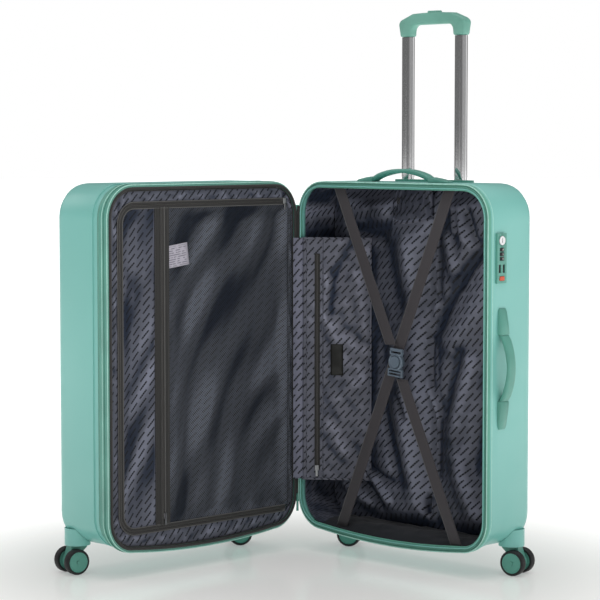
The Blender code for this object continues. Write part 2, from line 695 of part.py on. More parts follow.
# ---- the whole case --------------------------------------------------------------
def pivots_of_the_case():
    pivot("case", (0, 0, 0))
    pivot("lid", (0, 0, 0.4), "case")
    pivot("front_case", FRONT @ Vector((0.25, FRONT_RIM, 0.4)), "lid")
    pivot("divider", FRONT @ Vector((DIVIDER_HINGE_U, DIVIDER_FRONT, 0.39)), "lid")
    pivot("pocket_slider", FRONT @ Vector((0.357, 0.002, 0.110)), "divider")
    pivot("panel_slider", FRONT @ Vector((0.040, 0.002, 0.706)), "divider")
    pivot("puller", (0, 0, 0.112), "case")
    pivot("flap", (*FLAP_AXIS, 0.39), "case")
    pivot("flap_slider", (*FLAP_AXIS, 0.168), "flap")
    pivot("buckle_press", (strap_u(STRAP_A, BUCKLE_Z), BUCKLE_FRONT, BUCKLE_Z), "case")
    pivot("trolley", (TROLLEY_U, TROLLEY_D, BEZEL_TOP), "case")
    pivot("grip_press", (TROLLEY_U, TROLLEY_D, GRIP_TOP), "trolley")
    pivot("top_lift", (0.2475, 0.047, CASE_TOP), "case")
    pivot("side_lift", (CASE_WIDTH, 0.040, 0.404), "case")
    for i in range(3):
        z = DIAL_TOP_Z - i * DIAL_PITCH
        pivot("dial_%d" % (i + 1), (CASE_WIDTH + 0.0012, LOCK_D, z), "case")
    pivot("key_turn", (CASE_WIDTH, LOCK_D, KEY_Z), "case")
    pivot("lock_press", (CASE_WIDTH, LOCK_D, LOCK_BUTTON_Z), "case")


def centre_the_case():
    """Stand the case on z = 0 with the middle of its box over the origin."""
    bpy.context.view_layer.update()
    low = Vector((1e9, 1e9, 1e9))
    high = -low
    for obj in bpy.data.objects:
        if obj.type != "MESH" or obj.hide_render:
            continue
        for corner in obj.bound_box:
            p = obj.matrix_world @ Vector(corner)
            low = Vector(map(min, low, p))
            high = Vector(map(max, high, p))
    root = pivots["case"][0]
    root.location = (-(low.x + high.x) / 2, -(low.y + high.y) / 2, -low.z)
    print("case frame at", [round(v, 6) for v in root.location],
          "size", [round(v, 6) for v in high - low])


def main():
    for obj in list(bpy.data.objects):
        bpy.data.objects.remove(obj, do_unlink=True)
    pivots_of_the_case()
    back_shell()
    back_zip_tape()
    lining("back_lining", 0.0120, BACK_LINING_DEPTH, "case", BACK)
    front_shell()
    lining("front_lining", 0.0310, FRONT_LINING_DEPTH, "front_case", FRONT)
    lid_rim()
    divider_border()
    divider_panel()
    zip_slider("pocket_zip_slider", 0.357, 0.0010, 0.110, "pocket_slider", FRONT)
    zip_slider("panel_zip_slider", 0.034, 0.0010, 0.7000, "panel_slider", FRONT, "U")
    spine()
    pocket_flap()
    buckle()
    trolley()
    grip()
    carry_handles()
    lock()
    casters()
    centre_the_case()


main()
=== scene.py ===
"""Looks of the open hard shell suitcase: cloth, zips, webbing, chrome and moulded plastic."""
import json
import math

import bmesh
import bpy
from mathutils import Matrix, Vector, noise


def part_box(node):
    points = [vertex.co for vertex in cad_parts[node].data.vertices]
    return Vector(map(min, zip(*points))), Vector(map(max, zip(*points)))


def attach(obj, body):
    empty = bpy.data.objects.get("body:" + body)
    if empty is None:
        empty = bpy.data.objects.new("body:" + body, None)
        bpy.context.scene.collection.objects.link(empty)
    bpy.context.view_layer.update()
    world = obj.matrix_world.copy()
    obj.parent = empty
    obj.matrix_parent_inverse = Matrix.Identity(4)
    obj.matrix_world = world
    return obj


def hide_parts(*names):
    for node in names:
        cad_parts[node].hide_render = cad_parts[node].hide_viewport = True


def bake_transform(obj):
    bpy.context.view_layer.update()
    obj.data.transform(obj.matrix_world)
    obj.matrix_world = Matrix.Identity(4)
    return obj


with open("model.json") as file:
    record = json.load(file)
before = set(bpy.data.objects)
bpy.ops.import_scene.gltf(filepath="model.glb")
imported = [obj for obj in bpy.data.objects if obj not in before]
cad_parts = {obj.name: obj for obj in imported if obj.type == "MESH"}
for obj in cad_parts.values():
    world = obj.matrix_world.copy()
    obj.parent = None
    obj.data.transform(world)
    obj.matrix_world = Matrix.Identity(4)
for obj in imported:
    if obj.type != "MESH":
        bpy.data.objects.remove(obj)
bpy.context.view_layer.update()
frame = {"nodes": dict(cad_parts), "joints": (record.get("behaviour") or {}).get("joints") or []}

joints = {j["name"]: j for j in frame["joints"]}

# ---- places read from the frame -------------------------------------------------
HINGE = Vector(joints["lid_hinge"]["pos_m"])
SHELL_LOW, SHELL_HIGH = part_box("back_shell")
WIDTH = SHELL_HIGH.x - HINGE.x
HINGE_GAP = SHELL_LOW.x - HINGE.x
TOP = SHELL_HIGH.z
LINING_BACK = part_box("back_lining")[1].y - HINGE.y
DIVIDER_LOW, DIVIDER_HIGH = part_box("divider_panel")
DIVIDER_FRONT = HINGE.x - DIVIDER_HIGH.x
DIVIDER_HINGE_U = HINGE.y - DIVIDER_HIGH.y
DIVIDER_OUTER_U = HINGE.y - DIVIDER_LOW.y

# ---- the case's outline, as the CAD has it ----------------------------------------
BOTTOM = 0.0484
BOTTOM_RISE = 0.0081
BOTTOM_CROWN = 0.011
RISE_DEPTH = 0.050
CORNER_R = 0.0645
HINGE_TAPE_INSET = 0.0045
DIVIDER_R = 0.035
DIVIDER_HINGE_R = 0.012
FRONT_BAND = 0.0225
FRONT_RIM = 0.029


def back(u, d, z):
    """A point of the back half: across from the hinge, deep from the rim, high."""
    return Vector((HINGE.x + u, HINGE.y + d, z))


def front(u, d, z):
    """The same for the front half, which stands open at a right angle."""
    return Vector((HINGE.x - d, HINGE.y - u, z))


def arc(cx, cz, r, start, stop, steps):
    out = []
    for i in range(steps + 1):
        a = math.radians(start + (stop - start) * i / steps)
        out.append((cx + r * math.cos(a), cz + r * math.sin(a)))
    return out


def rounded(u0, u1, z0, z1, radii, crown=0.0, corner=10, edge=26):
    """Rounded rectangle as (u, z) points, anticlockwise from the lower hinge corner."""
    bl, br, tr, tl = radii
    points = arc(u0 + bl, z0 + bl, bl, 180, 270, corner)
    for i in range(1, edge):
        t = i / edge
        sag = crown * (1.0 - (2.0 * t - 1.0) ** 2)
        points.append((u0 + bl + (u1 - br - u0 - bl) * t, z0 - sag))
    points += arc(u1 - br, z0 + br, br, 270, 360, corner)
    points += [(u1, z0 + br + (z1 - tr - z0 - br) * i / edge) for i in range(1, edge)]
    points += arc(u1 - tr, z1 - tr, tr, 0, 90, corner)
    points += [(u1 - tr - (u1 - tr - u0 - tl) * i / edge, z1) for i in range(1, edge)]
    points += arc(u0 + tl, z1 - tl, tl, 90, 180, corner)
    points += [(u0, z1 - tl - (z1 - tl - z0 - bl) * i / edge) for i in range(1, edge)]
    return points


def smoothstep(t):
    t = min(max(t, 0.0), 1.0)
    return t * t * (3.0 - 2.0 * t)


def case_line(d, inset, hinge_inset=None):
    """The case's outline at depth d, pulled in by an inset."""
    left = inset if hinge_inset is None else hinge_inset
    s = smoothstep(d / RISE_DEPTH)
    r = max(CORNER_R - inset, 0.004)
    return rounded(HINGE_GAP + left, WIDTH - inset, BOTTOM + BOTTOM_RISE * s + inset,
                   TOP - inset, (r, r, r, r), BOTTOM_CROWN * (1.0 - s))


def divider_line(grow):
    radii = [max(r + grow, 0.001) for r in (DIVIDER_HINGE_R, DIVIDER_R, DIVIDER_R, DIVIDER_HINGE_R)]
    return rounded(DIVIDER_HINGE_U - grow, DIVIDER_OUTER_U + grow, DIVIDER_LOW.z - grow,
                   DIVIDER_HIGH.z + grow, radii)


# ---- mesh helpers ---------------------------------------------------------------
class Skin:
    """Gathers grids of points, with cloth coordinates in metres, into one mesh."""

    def __init__(self):
        self.points = []
        self.faces = []
        self.uvs = []
        self.slots = []
        self.shades = []

    def grid(self, rows, cloth, slot=0, wrap=False, shades=None):
        start = len(self.points)
        count = len(rows[0])
        self.shades += [v for row in shades for v in row] if shades else [0.5] * (len(rows) * count)
        for row in rows:
            self.points += [tuple(p) for p in row]
        for r in range(len(rows) - 1):
            for c in range(count if wrap else count - 1):
                e = (c + 1) % count
                self.faces.append((start + r * count + c, start + r * count + e,
                                   start + (r + 1) * count + e, start + (r + 1) * count + c))
                self.uvs.append((cloth[r][c], cloth[r][c + 1], cloth[r + 1][c + 1], cloth[r + 1][c]))
                self.slots.append(slot)

    def build(self, name, materials, body=None, thick=0.0, offset=-1.0, flip=False):
        mesh = bpy.data.meshes.new(name)
        faces = [tuple(reversed(f)) for f in self.faces] if flip else self.faces
        uvs = [tuple(reversed(u)) for u in self.uvs] if flip else self.uvs
        mesh.from_pydata(self.points, [], faces)
        layer = mesh.uv_layers.new(name="cloth")
        flat = [c for quad in uvs for uv in quad for c in uv]
        layer.data.foreach_set("uv", flat)
        mesh.polygons.foreach_set("material_index", self.slots)
        shade = mesh.attributes.new("shade", "FLOAT", "POINT")
        shade.data.foreach_set("value", self.shades)
        for m in materials:
            mesh.materials.append(m)
        mesh.shade_smooth()
        obj = bpy.data.objects.new(name, mesh)
        bpy.context.scene.collection.objects.link(obj)
        if thick:
            step = obj.modifiers.new("thick", "SOLIDIFY")
            step.thickness = thick
            step.offset = offset
        if body:
            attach(obj, body)
        return obj


def lengths(points):
    total = [0.0]
    for a, b in zip(points, points[1:]):
        total.append(total[-1] + (Vector(b) - Vector(a)).length)
    return total


def sweep(name, path, section, up, mats, body, closed=True):
    """Carry a section of (side, up) points along a path; up stays the same way."""
    skin = Skin()
    count = len(path)
    rows = []
    for i, p in enumerate(path):
        before = path[i - 1] if closed or i else p
        after = path[(i + 1) % count] if closed or i < count - 1 else p
        side = (Vector(after) - Vector(before)).cross(up).normalized()
        rows.append([Vector(p) + side * a + Vector(up) * b for a, b in section])
    along = lengths(list(path) + [path[0]])
    around = lengths([(a, b, 0) for a, b in section] + [(*section[0], 0)])
    cloth = [[(along[i], v) for v in around] for i in range(count + 1)]
    if closed:
        rows.append(rows[0])
    skin.grid(rows, cloth, wrap=True)
    obj = skin.build(name, mats)
    bm = bmesh.new()
    bm.from_mesh(obj.data)
    bmesh.ops.remove_doubles(bm, verts=bm.verts, dist=1e-6)
    if not closed:
        bmesh.ops.holes_fill(bm, edges=bm.edges)
    bmesh.ops.recalc_face_normals(bm, faces=bm.faces)
    bm.to_mesh(obj.data)
    bm.free()
    obj.data.shade_smooth()
    if body:
        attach(obj, body)
    return obj


def round_section(r, squash=1.0, steps=8):
    return [(r * math.cos(2 * math.pi * i / steps), r * squash * math.sin(2 * math.pi * i / steps))
            for i in range(steps)]


def flat_section(width, thick, crown=0.0, steps=4):
    """A tape's section, crowned on its upper side."""
    points = [(-width / 2, 0.0)]
    for i in range(steps + 1):
        t = i / steps
        points.append((width * (t - 0.5), thick + crown * (1 - (2 * t - 1) ** 2)))
    points.append((width / 2, 0.0))
    return points


def solid(name, rings, mats, body, bevel=0.0):
    """A closed piece lofted through rings of points, with capped ends."""
    bm = bmesh.new()
    rows = [[bm.verts.new(p) for p in ring] for ring in rings]
    for low, high in zip(rows, rows[1:]):
        for i in range(len(low)):
            j = (i + 1) % len(low)
            bm.faces.new((low[i], low[j], high[j], high[i]))
    bm.faces.new(rows[0])
    bm.faces.new(rows[-1])
    bmesh.ops.recalc_face_normals(bm, faces=bm.faces)
    mesh = bpy.data.meshes.new(name)
    bm.to_mesh(mesh)
    bm.free()
    for m in mats:
        mesh.materials.append(m)
    mesh.shade_smooth()
    mesh.set_sharp_from_angle(angle=math.radians(35))
    obj = bpy.data.objects.new(name, mesh)
    bpy.context.scene.collection.objects.link(obj)
    if bevel:
        step = obj.modifiers.new("round", "BEVEL")
        step.width = bevel
        step.segments = 2
        step.limit_method = "ANGLE"
        step.harden_normals = True
    if body:
        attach(obj, body)
    return obj


def block(name, place, x, y, z, mats, body, bevel=0.0006):
    """A rounded box spanning x, y and z ranges in the frame given by place."""
    rings = []
    for zz in z:
        rings.append([place @ Vector(p) for p in ((x[0], y[0], zz), (x[1], y[0], zz),
                                                  (x[1], y[1], zz), (x[0], y[1], zz))])
    return solid(name, rings, mats, body, bevel)


# ---- materials ------------------------------------------------------------------
def add_node(tree, kind, inputs=(), **props):
    """A node with its properties set, and each input either linked or given a value."""
    made = tree.nodes.new(kind)
    for key, value in props.items():
        setattr(made, key, value)
    for key, value in dict(inputs).items():
        if isinstance(value, bpy.types.NodeSocket):
            tree.links.new(value, made.inputs[key])
        else:
            made.inputs[key].default_value = value
    return made


def linear(r, g, b):
    """An sRGB colour, 0 to 255, as the shader wants it."""
    out = []
    for v in (r, g, b):
        v = v / 255.0
        out.append(v / 12.92 if v <= 0.04045 else ((v + 0.055) / 1.055) ** 2.4)
    return (*out, 1.0)


class Mat:
    """One Principled material with a few helpers for its nodes."""

    def __init__(self, name, colour, rough=0.5, metal=0.0):
        self.material = bpy.data.materials.new(name)
        self.material.use_nodes = True
        self.tree = self.material.node_tree
        self.shader = self.tree.nodes["Principled BSDF"]
        self.set("Base Color", colour)
        self.set("Roughness", rough)
        self.set("Metallic", metal)

    def set(self, socket, value):
        target = self.shader.inputs[socket]
        if isinstance(value, bpy.types.NodeSocket):
            self.tree.links.new(value, target)
        else:
            target.default_value = value

    def node(self, kind, inputs=(), **props):
        return add_node(self.tree, kind, inputs, **props)

    def math(self, operation, a, b=0.0, c=0.0):
        return self.node("ShaderNodeMath", {0: a, 1: b, 2: c}, operation=operation).outputs[0]

    def ramp(self, value, low, high, to_low=0.0, to_high=1.0):
        return self.node("ShaderNodeMapRange", {"Value": value, "From Min": low, "From Max": high,
                                                "To Min": to_low, "To Max": to_high},
                         interpolation_type="SMOOTHSTEP").outputs["Result"]

    def mix(self, factor, a, b):
        made = self.node("ShaderNodeMix", {"Factor": factor}, data_type="RGBA")
        for key, value in (("A", a), ("B", b)):
            target = [s for s in made.inputs if s.name == key and s.type == "RGBA"][0]
            if isinstance(value, bpy.types.NodeSocket):
                self.tree.links.new(value, target)
            else:
                target.default_value = value
        return [s for s in made.outputs if s.type == "RGBA"][0]

    def noise(self, scale, detail=3.0, coords=None, rough=0.5):
        where = coords or self.node("ShaderNodeTexCoord").outputs["Object"]
        return self.node("ShaderNodeTexNoise", {"Vector": where, "Scale": scale, "Detail": detail,
                                                "Roughness": rough}).outputs["Fac"]

    def cloth(self):
        """Cloth coordinates in metres, as x and y."""
        split = self.node("ShaderNodeSeparateXYZ",
                          {"Vector": self.node("ShaderNodeUVMap", uv_map="cloth").outputs["UV"]})
        return split.outputs["X"], split.outputs["Y"]

    def shaded(self, ground):
        """Painted shade and highlight from the shade attribute: hollows of the cloth darker and bluer, crests
        lighter.
        """
        shade = self.node("ShaderNodeAttribute", attribute_name="shade").outputs["Fac"]
        dark = self.node("ShaderNodeVectorMath", {0: ground, 1: (0.16, 0.22, 0.32)}, operation="MULTIPLY")
        pale = self.node("ShaderNodeVectorMath", {0: ground, 1: (2.00, 1.98, 1.96)}, operation="MULTIPLY")
        low = self.mix(self.ramp(shade, 0.05, 0.50), dark.outputs[0], ground)
        return self.mix(self.ramp(shade, 0.50, 0.95), low, pale.outputs[0])

    def bump(self, height, strength, distance):
        made = self.node("ShaderNodeBump", {"Height": height, "Strength": strength, "Distance": distance})
        self.set("Normal", made.outputs["Normal"])


def stripe(m, value, pitch, share, soft=0.1):
    """1 on a stripe that fills a share of each pitch, 0 between the stripes."""
    phase = m.math("ABSOLUTE", m.math("SUBTRACT", m.math("FRACT", m.math("DIVIDE", value, pitch)), 0.5))
    return m.ramp(phase, share / 2 - soft / 2, share / 2 + soft / 2, 1.0, 0.0)


def dash_mask(m, angle):
    """Generic woven dashes in slanting rows, each dash a run of small blocks."""
    x, y = m.cloth()
    ca, sa = math.cos(angle), math.sin(angle)
    along = m.math("ADD", m.math("MULTIPLY", x, ca), m.math("MULTIPLY", y, sa))
    across = m.math("ADD", m.math("MULTIPLY", x, -sa), m.math("MULTIPLY", y, ca))
    row = m.math("FLOOR", m.math("DIVIDE", across, DASH_ROW))
    shift = m.math("MULTIPLY", m.math("FRACT", m.math("MULTIPLY", row, 0.381)), DASH_PITCH)
    line = stripe(m, across, DASH_ROW, DASH_THICK / DASH_ROW, 0.06)
    run = stripe(m, m.math("ADD", along, shift), DASH_PITCH, 0.70, 0.05)
    blocks = stripe(m, along, 0.0046, 0.70, 0.2)
    worn = m.math("ADD", m.math("MULTIPLY", blocks, 0.35), 0.65)
    return m.math("MULTIPLY", m.math("MULTIPLY", line, run), worn)


DASH_ROW = 0.0104
DASH_PITCH = 0.0325
DASH_THICK = 0.0033


def lining_material(name, angle, base, dash, rough=0.5):
    m = Mat(name, base, rough)
    m.set("Sheen Weight", 0.06)
    m.set("Sheen Roughness", 0.4)
    m.set("Specular IOR Level", 0.30)
    x, y = m.cloth()
    mask = dash_mask(m, angle)
    tone = m.ramp(m.noise(9.0, 3.0), 0.35, 0.7)
    ground = m.mix(m.math("MULTIPLY", tone, 0.5), base, [c * 1.35 for c in base[:3]] + [1.0])
    # painted shade in the cloth's hollows and painted highlight on its crests
    ground = m.shaded(ground)
    m.set("Base Color", m.mix(mask, ground, dash))
    weft = m.node("ShaderNodeTexNoise", {"Scale": 1.0, "Detail": 2.0, "Vector": m.node(
        "ShaderNodeCombineXYZ", {"X": m.math("MULTIPLY", x, 380.0),
                                 "Y": m.math("MULTIPLY", y, 1500.0)}).outputs[0]}).outputs["Fac"]
    m.set("Roughness", m.ramp(weft, 0.3, 0.7, rough - 0.08, rough + 0.14))
    m.bump(m.math("ADD", weft, m.math("MULTIPLY", mask, -0.8)), 0.35, 0.0003)
    return m.material


def shell_material():
    """Matt moulded green with a faint cloud and grain."""
    green = linear(132, 200, 191)
    m = Mat("shell_green", green, 0.36)
    cloud = m.noise(3.0, 2.0)
    m.set("Base Color", m.mix(m.ramp(cloud, 0.3, 0.75), green, linear(126, 194, 185)))
    grain = m.noise(900.0, 2.0)
    m.set("Roughness", m.ramp(m.noise(24.0, 4.0), 0.3, 0.7, 0.32, 0.42))
    m.bump(grain, 0.08, 0.0002)
    m.set("Coat Weight", 0.12)
    m.set("Coat Roughness", 0.25)
    return m.material


def trim_material(name, colour, rough=0.42, grain=0.10):
    """Moulded plastic trim with a fine grain."""
    m = Mat(name, colour, rough)
    darker = [c * 0.86 for c in colour[:3]] + [1.0]
    m.set("Base Color", m.mix(m.ramp(m.noise(16.0, 3.0), 0.35, 0.7), colour, darker))
    m.set("Roughness", m.ramp(m.noise(60.0, 4.0), 0.3, 0.7, rough - 0.06, rough + 0.08))
    m.bump(m.noise(1200.0, 2.0), grain, 0.0002)
    return m.material


def tape_material(name, colour, ribs=0.0011):
    """Woven zip tape or webbing: fine ribs across, a selvedge feel along."""
    m = Mat(name, colour, 0.72)
    m.set("Sheen Weight", 0.2)
    x, y = m.cloth()
    rib = stripe(m, x, ribs, 0.5, 0.5)
    line = stripe(m, y, 0.0032, 0.6, 0.5)
    weave = m.math("ADD", m.math("MULTIPLY", rib, 0.6), m.math("MULTIPLY", line, 0.4))
    tone = m.math("MULTIPLY", m.noise(40.0, 3.0), 0.6)
    dark = [c * 0.72 for c in colour[:3]] + [1.0]
    m.set("Base Color", m.mix(m.math("ADD", m.math("MULTIPLY", weave, 0.4), tone), dark, colour))
    m.bump(weave, 0.4, 0.0003)
    return m.material


def coil_material(name, colour):
    """The zip's coil: teeth across its length."""
    m = Mat(name, colour, 0.4)
    x, _ = m.cloth()
    tooth = stripe(m, x, 0.0020, 0.55, 0.3)
    # painted shade: the gaps between the teeth are painted dark
    dark = [c * 0.35 for c in colour[:3]] + [1.0]
    m.set("Base Color", m.mix(tooth, dark, colour))
    m.bump(tooth, 0.6, 0.0006)
    return m.material


def net_material():
    """Fine diamond net lying over dark lining, with painted shade in its hollows and painted highlight on its
    crests.
    """
    base = linear(44, 46, 54)
    m = Mat("divider_net", base, 0.62)
    m.set("Sheen Weight", 0.05)
    m.set("Specular IOR Level", 0.25)
    x, y = m.cloth()
    one = stripe(m, m.math("ADD", x, y), NET_PITCH, 0.36, 0.3)
    two = stripe(m, m.math("SUBTRACT", x, y), NET_PITCH, 0.36, 0.3)
    net = m.math("MAXIMUM", one, two)
    under = m.mix(dash_mask(m, math.radians(142)), linear(44, 49, 60), linear(4, 6, 11))
    m.set("Base Color", m.shaded(m.mix(m.math("MULTIPLY", net, 0.62), under, linear(92, 95, 101))))
    m.bump(net, 0.5, 0.0005)
    return m.material


NET_PITCH = 0.0052
CLOTH = linear(86, 89, 101)
DASH = linear(15, 18, 25)
SLANT = math.radians(47)

shell_green = shell_material()
trim_green = trim_material("trim_green", linear(96, 162, 147))
grip_green = trim_material("grip_green", linear(112, 172, 156), 0.48)
cloth_back = lining_material("lining_back", SLANT, CLOTH, DASH)
cloth_front = lining_material("lining_front", math.pi - SLANT, CLOTH, DASH)
# pouch: the same lining with a darker base, a shaded copy of it: painted shade
cloth_pouch = lining_material("lining_pouch", SLANT, linear(68, 71, 83), DASH)
# cavity floor: ribbed cloth, its near-black navy is painted shade for the lining's floor in shadow
floor_cloth_painted_shade = tape_material("cavity_floor_painted_shade", linear(12, 19, 30), 0.0062)
# flap and spine: the same lining with lighter bases, lit copies of it: painted light
cloth_flap = lining_material("lining_flap", SLANT, linear(97, 99, 111), DASH)
cloth_spine = lining_material("lining_spine", SLANT, linear(112, 114, 130), DASH)
dark_tape = tape_material("dark_tape", linear(43, 42, 41))
webbing = tape_material("webbing", linear(63, 59, 63), 0.0016)
green_tape = tape_material("green_tape", linear(112, 190, 168))
green_coil = coil_material("green_coil", linear(128, 196, 178))
dark_coil = coil_material("dark_coil", linear(74, 72, 70))
net = net_material()
# piping along the zips, its pale colour a painted highlight line
piping_painted_highlight = tape_material("piping_painted_highlight", linear(92, 91, 90))
zip_grey = Mat("zip_grey", (0.30, 0.31, 0.32, 1), 0.42, 1.0).material
buckle_blue = trim_material("buckle_blue", linear(108, 122, 136), 0.36)
black_plastic = trim_material("black_plastic", linear(26, 26, 28), 0.4)
tyre_black = trim_material("tyre_black", linear(24, 24, 26), 0.6, 0.3)
button_red = trim_material("button_red", linear(214, 84, 52), 0.4)
steel = Mat("steel", (0.62, 0.62, 0.63, 1), 0.28, 1.0).material
zip_pale = Mat("zip_pale", (0.50, 0.51, 0.52, 1), 0.45, 1.0).material
dark_zip_metal = Mat("dark_zip_metal", (0.16, 0.16, 0.17, 1), 0.32, 1.0).material


def chrome_material():
    """Polished tube, with a faint change of gloss along its length."""
    m = Mat("pole_chrome", (0.80, 0.80, 0.81, 1), 0.06, 1.0)
    stretch = m.node("ShaderNodeMapping", {"Vector": m.node("ShaderNodeTexCoord").outputs["Object"],
                                           "Scale": (200.0, 200.0, 1.0)}).outputs[0]
    m.set("Roughness", m.ramp(m.noise(1.0, 1.0, stretch), 0.3, 0.7, 0.06, 0.10))
    return m.material


pole_chrome = chrome_material()


# ---- carried-over CAD nodes ---------------------------------------------------------
def dress(node, *mats, angle=32.0):
    """Smooth a CAD node's facets and give it its material."""
    obj = frame["nodes"][node]
    obj.data.materials.clear()
    for m in mats:
        obj.data.materials.append(m)
    obj.data.polygons.foreach_set("material_index", [0] * len(obj.data.polygons))
    obj.data.shade_smooth()
    weld = obj.modifiers.new("weld", "WELD")
    weld.merge_threshold = 0.00002
    split = obj.modifiers.new("split", "EDGE_SPLIT")
    split.split_angle = math.radians(angle)
    return obj


def dress_all():
    for n in ("back_shell", "front_shell"):
        dress(n, shell_green)
    for n in ("trolley_bezel", "top_cap_hinge", "top_cap_outer", "side_cap_upper",
              "side_cap_lower", "top_handle", "side_handle", "main_zip_puller"):
        dress(n, trim_green, angle=50)
    dress("grip_button", grip_green)
    dress("lock_plate", trim_green)
    dress("back_zip_tape", green_tape)
    dress("lid_rim", trim_green)
    for n in ("pole_left", "pole_right", "outer_tube_left", "outer_tube_right"):
        dress(n, pole_chrome)
    dress("trolley_foot", black_plastic)
    dress("key_cylinder", steel)
    dress("lock_button", button_red)
    dress("buckle_button", buckle_blue)
    for i in (1, 2, 3):
        dress("lock_dial_%d" % i, black_plastic)
    for n in frame["nodes"]:
        if n.startswith("caster_housing"):
            dress(n, shell_green)
        if n.startswith(("caster_fork", "caster_axle")):
            dress(n, trim_green)
        if n.startswith("wheel_"):
            dress_wheel(n)


def pull_grip():
    """The pull grip, its legs drawn in to the poles and its top sloping down to the ends."""
    low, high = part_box("pull_grip")
    pole_low, pole_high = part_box("pole_right")
    middle = (low.x + high.x) / 2
    half = (high.x - low.x) / 2
    pole = (pole_high.x - pole_low.x) / 2
    leg = half - 2 * pole - LEG_SPARE
    inner = pole_low.x - middle - 0.0006
    outer = pole_high.x - middle + 0.0008
    centre_y = (low.y + high.y) / 2
    mesh = frame["nodes"]["pull_grip"].data.copy()
    for v in mesh.vertices:
        reach = abs(v.co.x - middle)
        side = 1.0 if v.co.x > middle else -1.0
        if reach > leg:
            reach = inner + (outer - inner) * (reach - leg) / (half - leg)
            reach += 0.0018 * bell(v.co.z, 1.066, 0.012) * smoothstep((reach - inner) / (outer - inner))
        elif reach > leg - GRIP_ARCH:
            t = (reach - leg + GRIP_ARCH) / GRIP_ARCH
            reach = leg - GRIP_ARCH + t * (inner - leg + GRIP_ARCH)
        v.co.x = middle + side * reach
        v.co.y = centre_y + (v.co.y - centre_y) * (0.74 + 0.20 * smoothstep((v.co.z - low.z) / 0.028))
        if v.co.z > GRIP_UPPER:
            v.co.z -= 0.0088 * smoothstep((reach / outer - 0.62) / 0.38)
    mesh.materials.clear()
    mesh.materials.append(grip_green)
    mesh.polygons.foreach_set("material_index", [0] * len(mesh.polygons))
    mesh.shade_smooth()
    grip = bpy.data.objects.new("pull_grip_moulding", mesh)
    bpy.context.scene.collection.objects.link(grip)
    weld = grip.modifiers.new("weld", "WELD")
    weld.merge_threshold = 0.00002
    split = grip.modifiers.new("split", "EDGE_SPLIT")
    split.split_angle = math.radians(50)
    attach(grip, "trolley")
    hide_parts("pull_grip")


LEG_SPARE = 0.0035
GRIP_ARCH = 0.0121
GRIP_UPPER = 1.0600
HUB_R = 0.0193


def dress_wheel(node):
    """Green hub inside a black tyre: faces beyond the hub's edge take the tyre."""
    obj = dress(node, trim_green, tyre_black)
    joint = joints[node + "_spin"]
    centre = Vector(joint["pos_m"])
    axis = Vector(joint["axis"]).normalized()
    for face in obj.data.polygons:
        middle = face.center - centre
        reach = (middle - axis * middle.dot(axis)).length
        face.material_index = 1 if reach > HUB_R else 0


# ---- linings -------------------------------------------------------------------------
def fold(u, z, scale, seed, stretch=(1.0, 1.0)):
    return noise.noise(Vector((u * scale * stretch[0], z * scale * stretch[1], seed)))


def crease(u, z, scale, seed, stretch=(1.0, 1.0)):
    """Sharp-topped folds: high along thin lines."""
    return 1.0 - abs(fold(u, z, scale, seed, stretch)) * 2.0


def hollows(heights, step, depth):
    """Shade of each point of a grid of heights: low in hollows, high on crests."""
    rows, cols = len(heights), len(heights[0])
    out = []
    for i in range(rows):
        row = []
        for j in range(cols):
            total = 0.0
            for di, dj in ((-2, 0), (2, 0), (0, -2), (0, 2), (-1, -1), (1, 1), (-1, 1), (1, -1)):
                a = min(max(i + di * step, 0), rows - 1)
                b = min(max(j + dj * step, 0), cols - 1)
                total += heights[a][b]
            row.append(min(max(0.5 + (heights[i][j] - total / 8) / depth, 0.0), 1.0))
        out.append(row)
    return out


def slopes(heights, depth, di=3, dj=3):
    """Shade of each point by its slope: crests' lit sides high, far sides low."""
    rows, cols = len(heights), len(heights[0])
    out = []
    for i in range(rows):
        row = []
        for j in range(cols):
            up = heights[min(i + di, rows - 1)][j] - heights[max(i - di, 0)][j]
            side = heights[i][min(j + dj, cols - 1)] - heights[i][max(j - dj, 0)]
            row.append(min(max(0.5 - (up + side) / depth, 0.0), 1.0))
        out.append(row)
    return out


def relief(heights, step, depth, fall, di=3, dj=3, share=0.5):
    """Shade of a grid of heights: a share for hollows and crests, the rest for slopes."""
    return [[a * share + b * (1 - share) for a, b in zip(x, y)]
            for x, y in zip(hollows(heights, step, depth), slopes(heights, fall, di, dj))]


def bell(x, centre, width):
    return math.exp(-((x - centre) / width) ** 2)


def along(u, z, a, b):
    """Distance from the stretch of line between a and b."""
    run = Vector(b) - Vector(a)
    t = (Vector((u, z)) - Vector(a)).dot(run) / run.length_squared
    near = Vector(a) + run * min(max(t, 0.0), 1.0)
    return (Vector((u, z)) - near).length


def folds(u, z, lines):
    """Sum of soft folds, each from one place to another with a width and a height."""
    total = 0.0
    for a, b, width, height in lines:
        reach = along(u, z, a, b) / width
        if reach < 3.0:
            total += height * math.exp(-reach * reach)
    return total


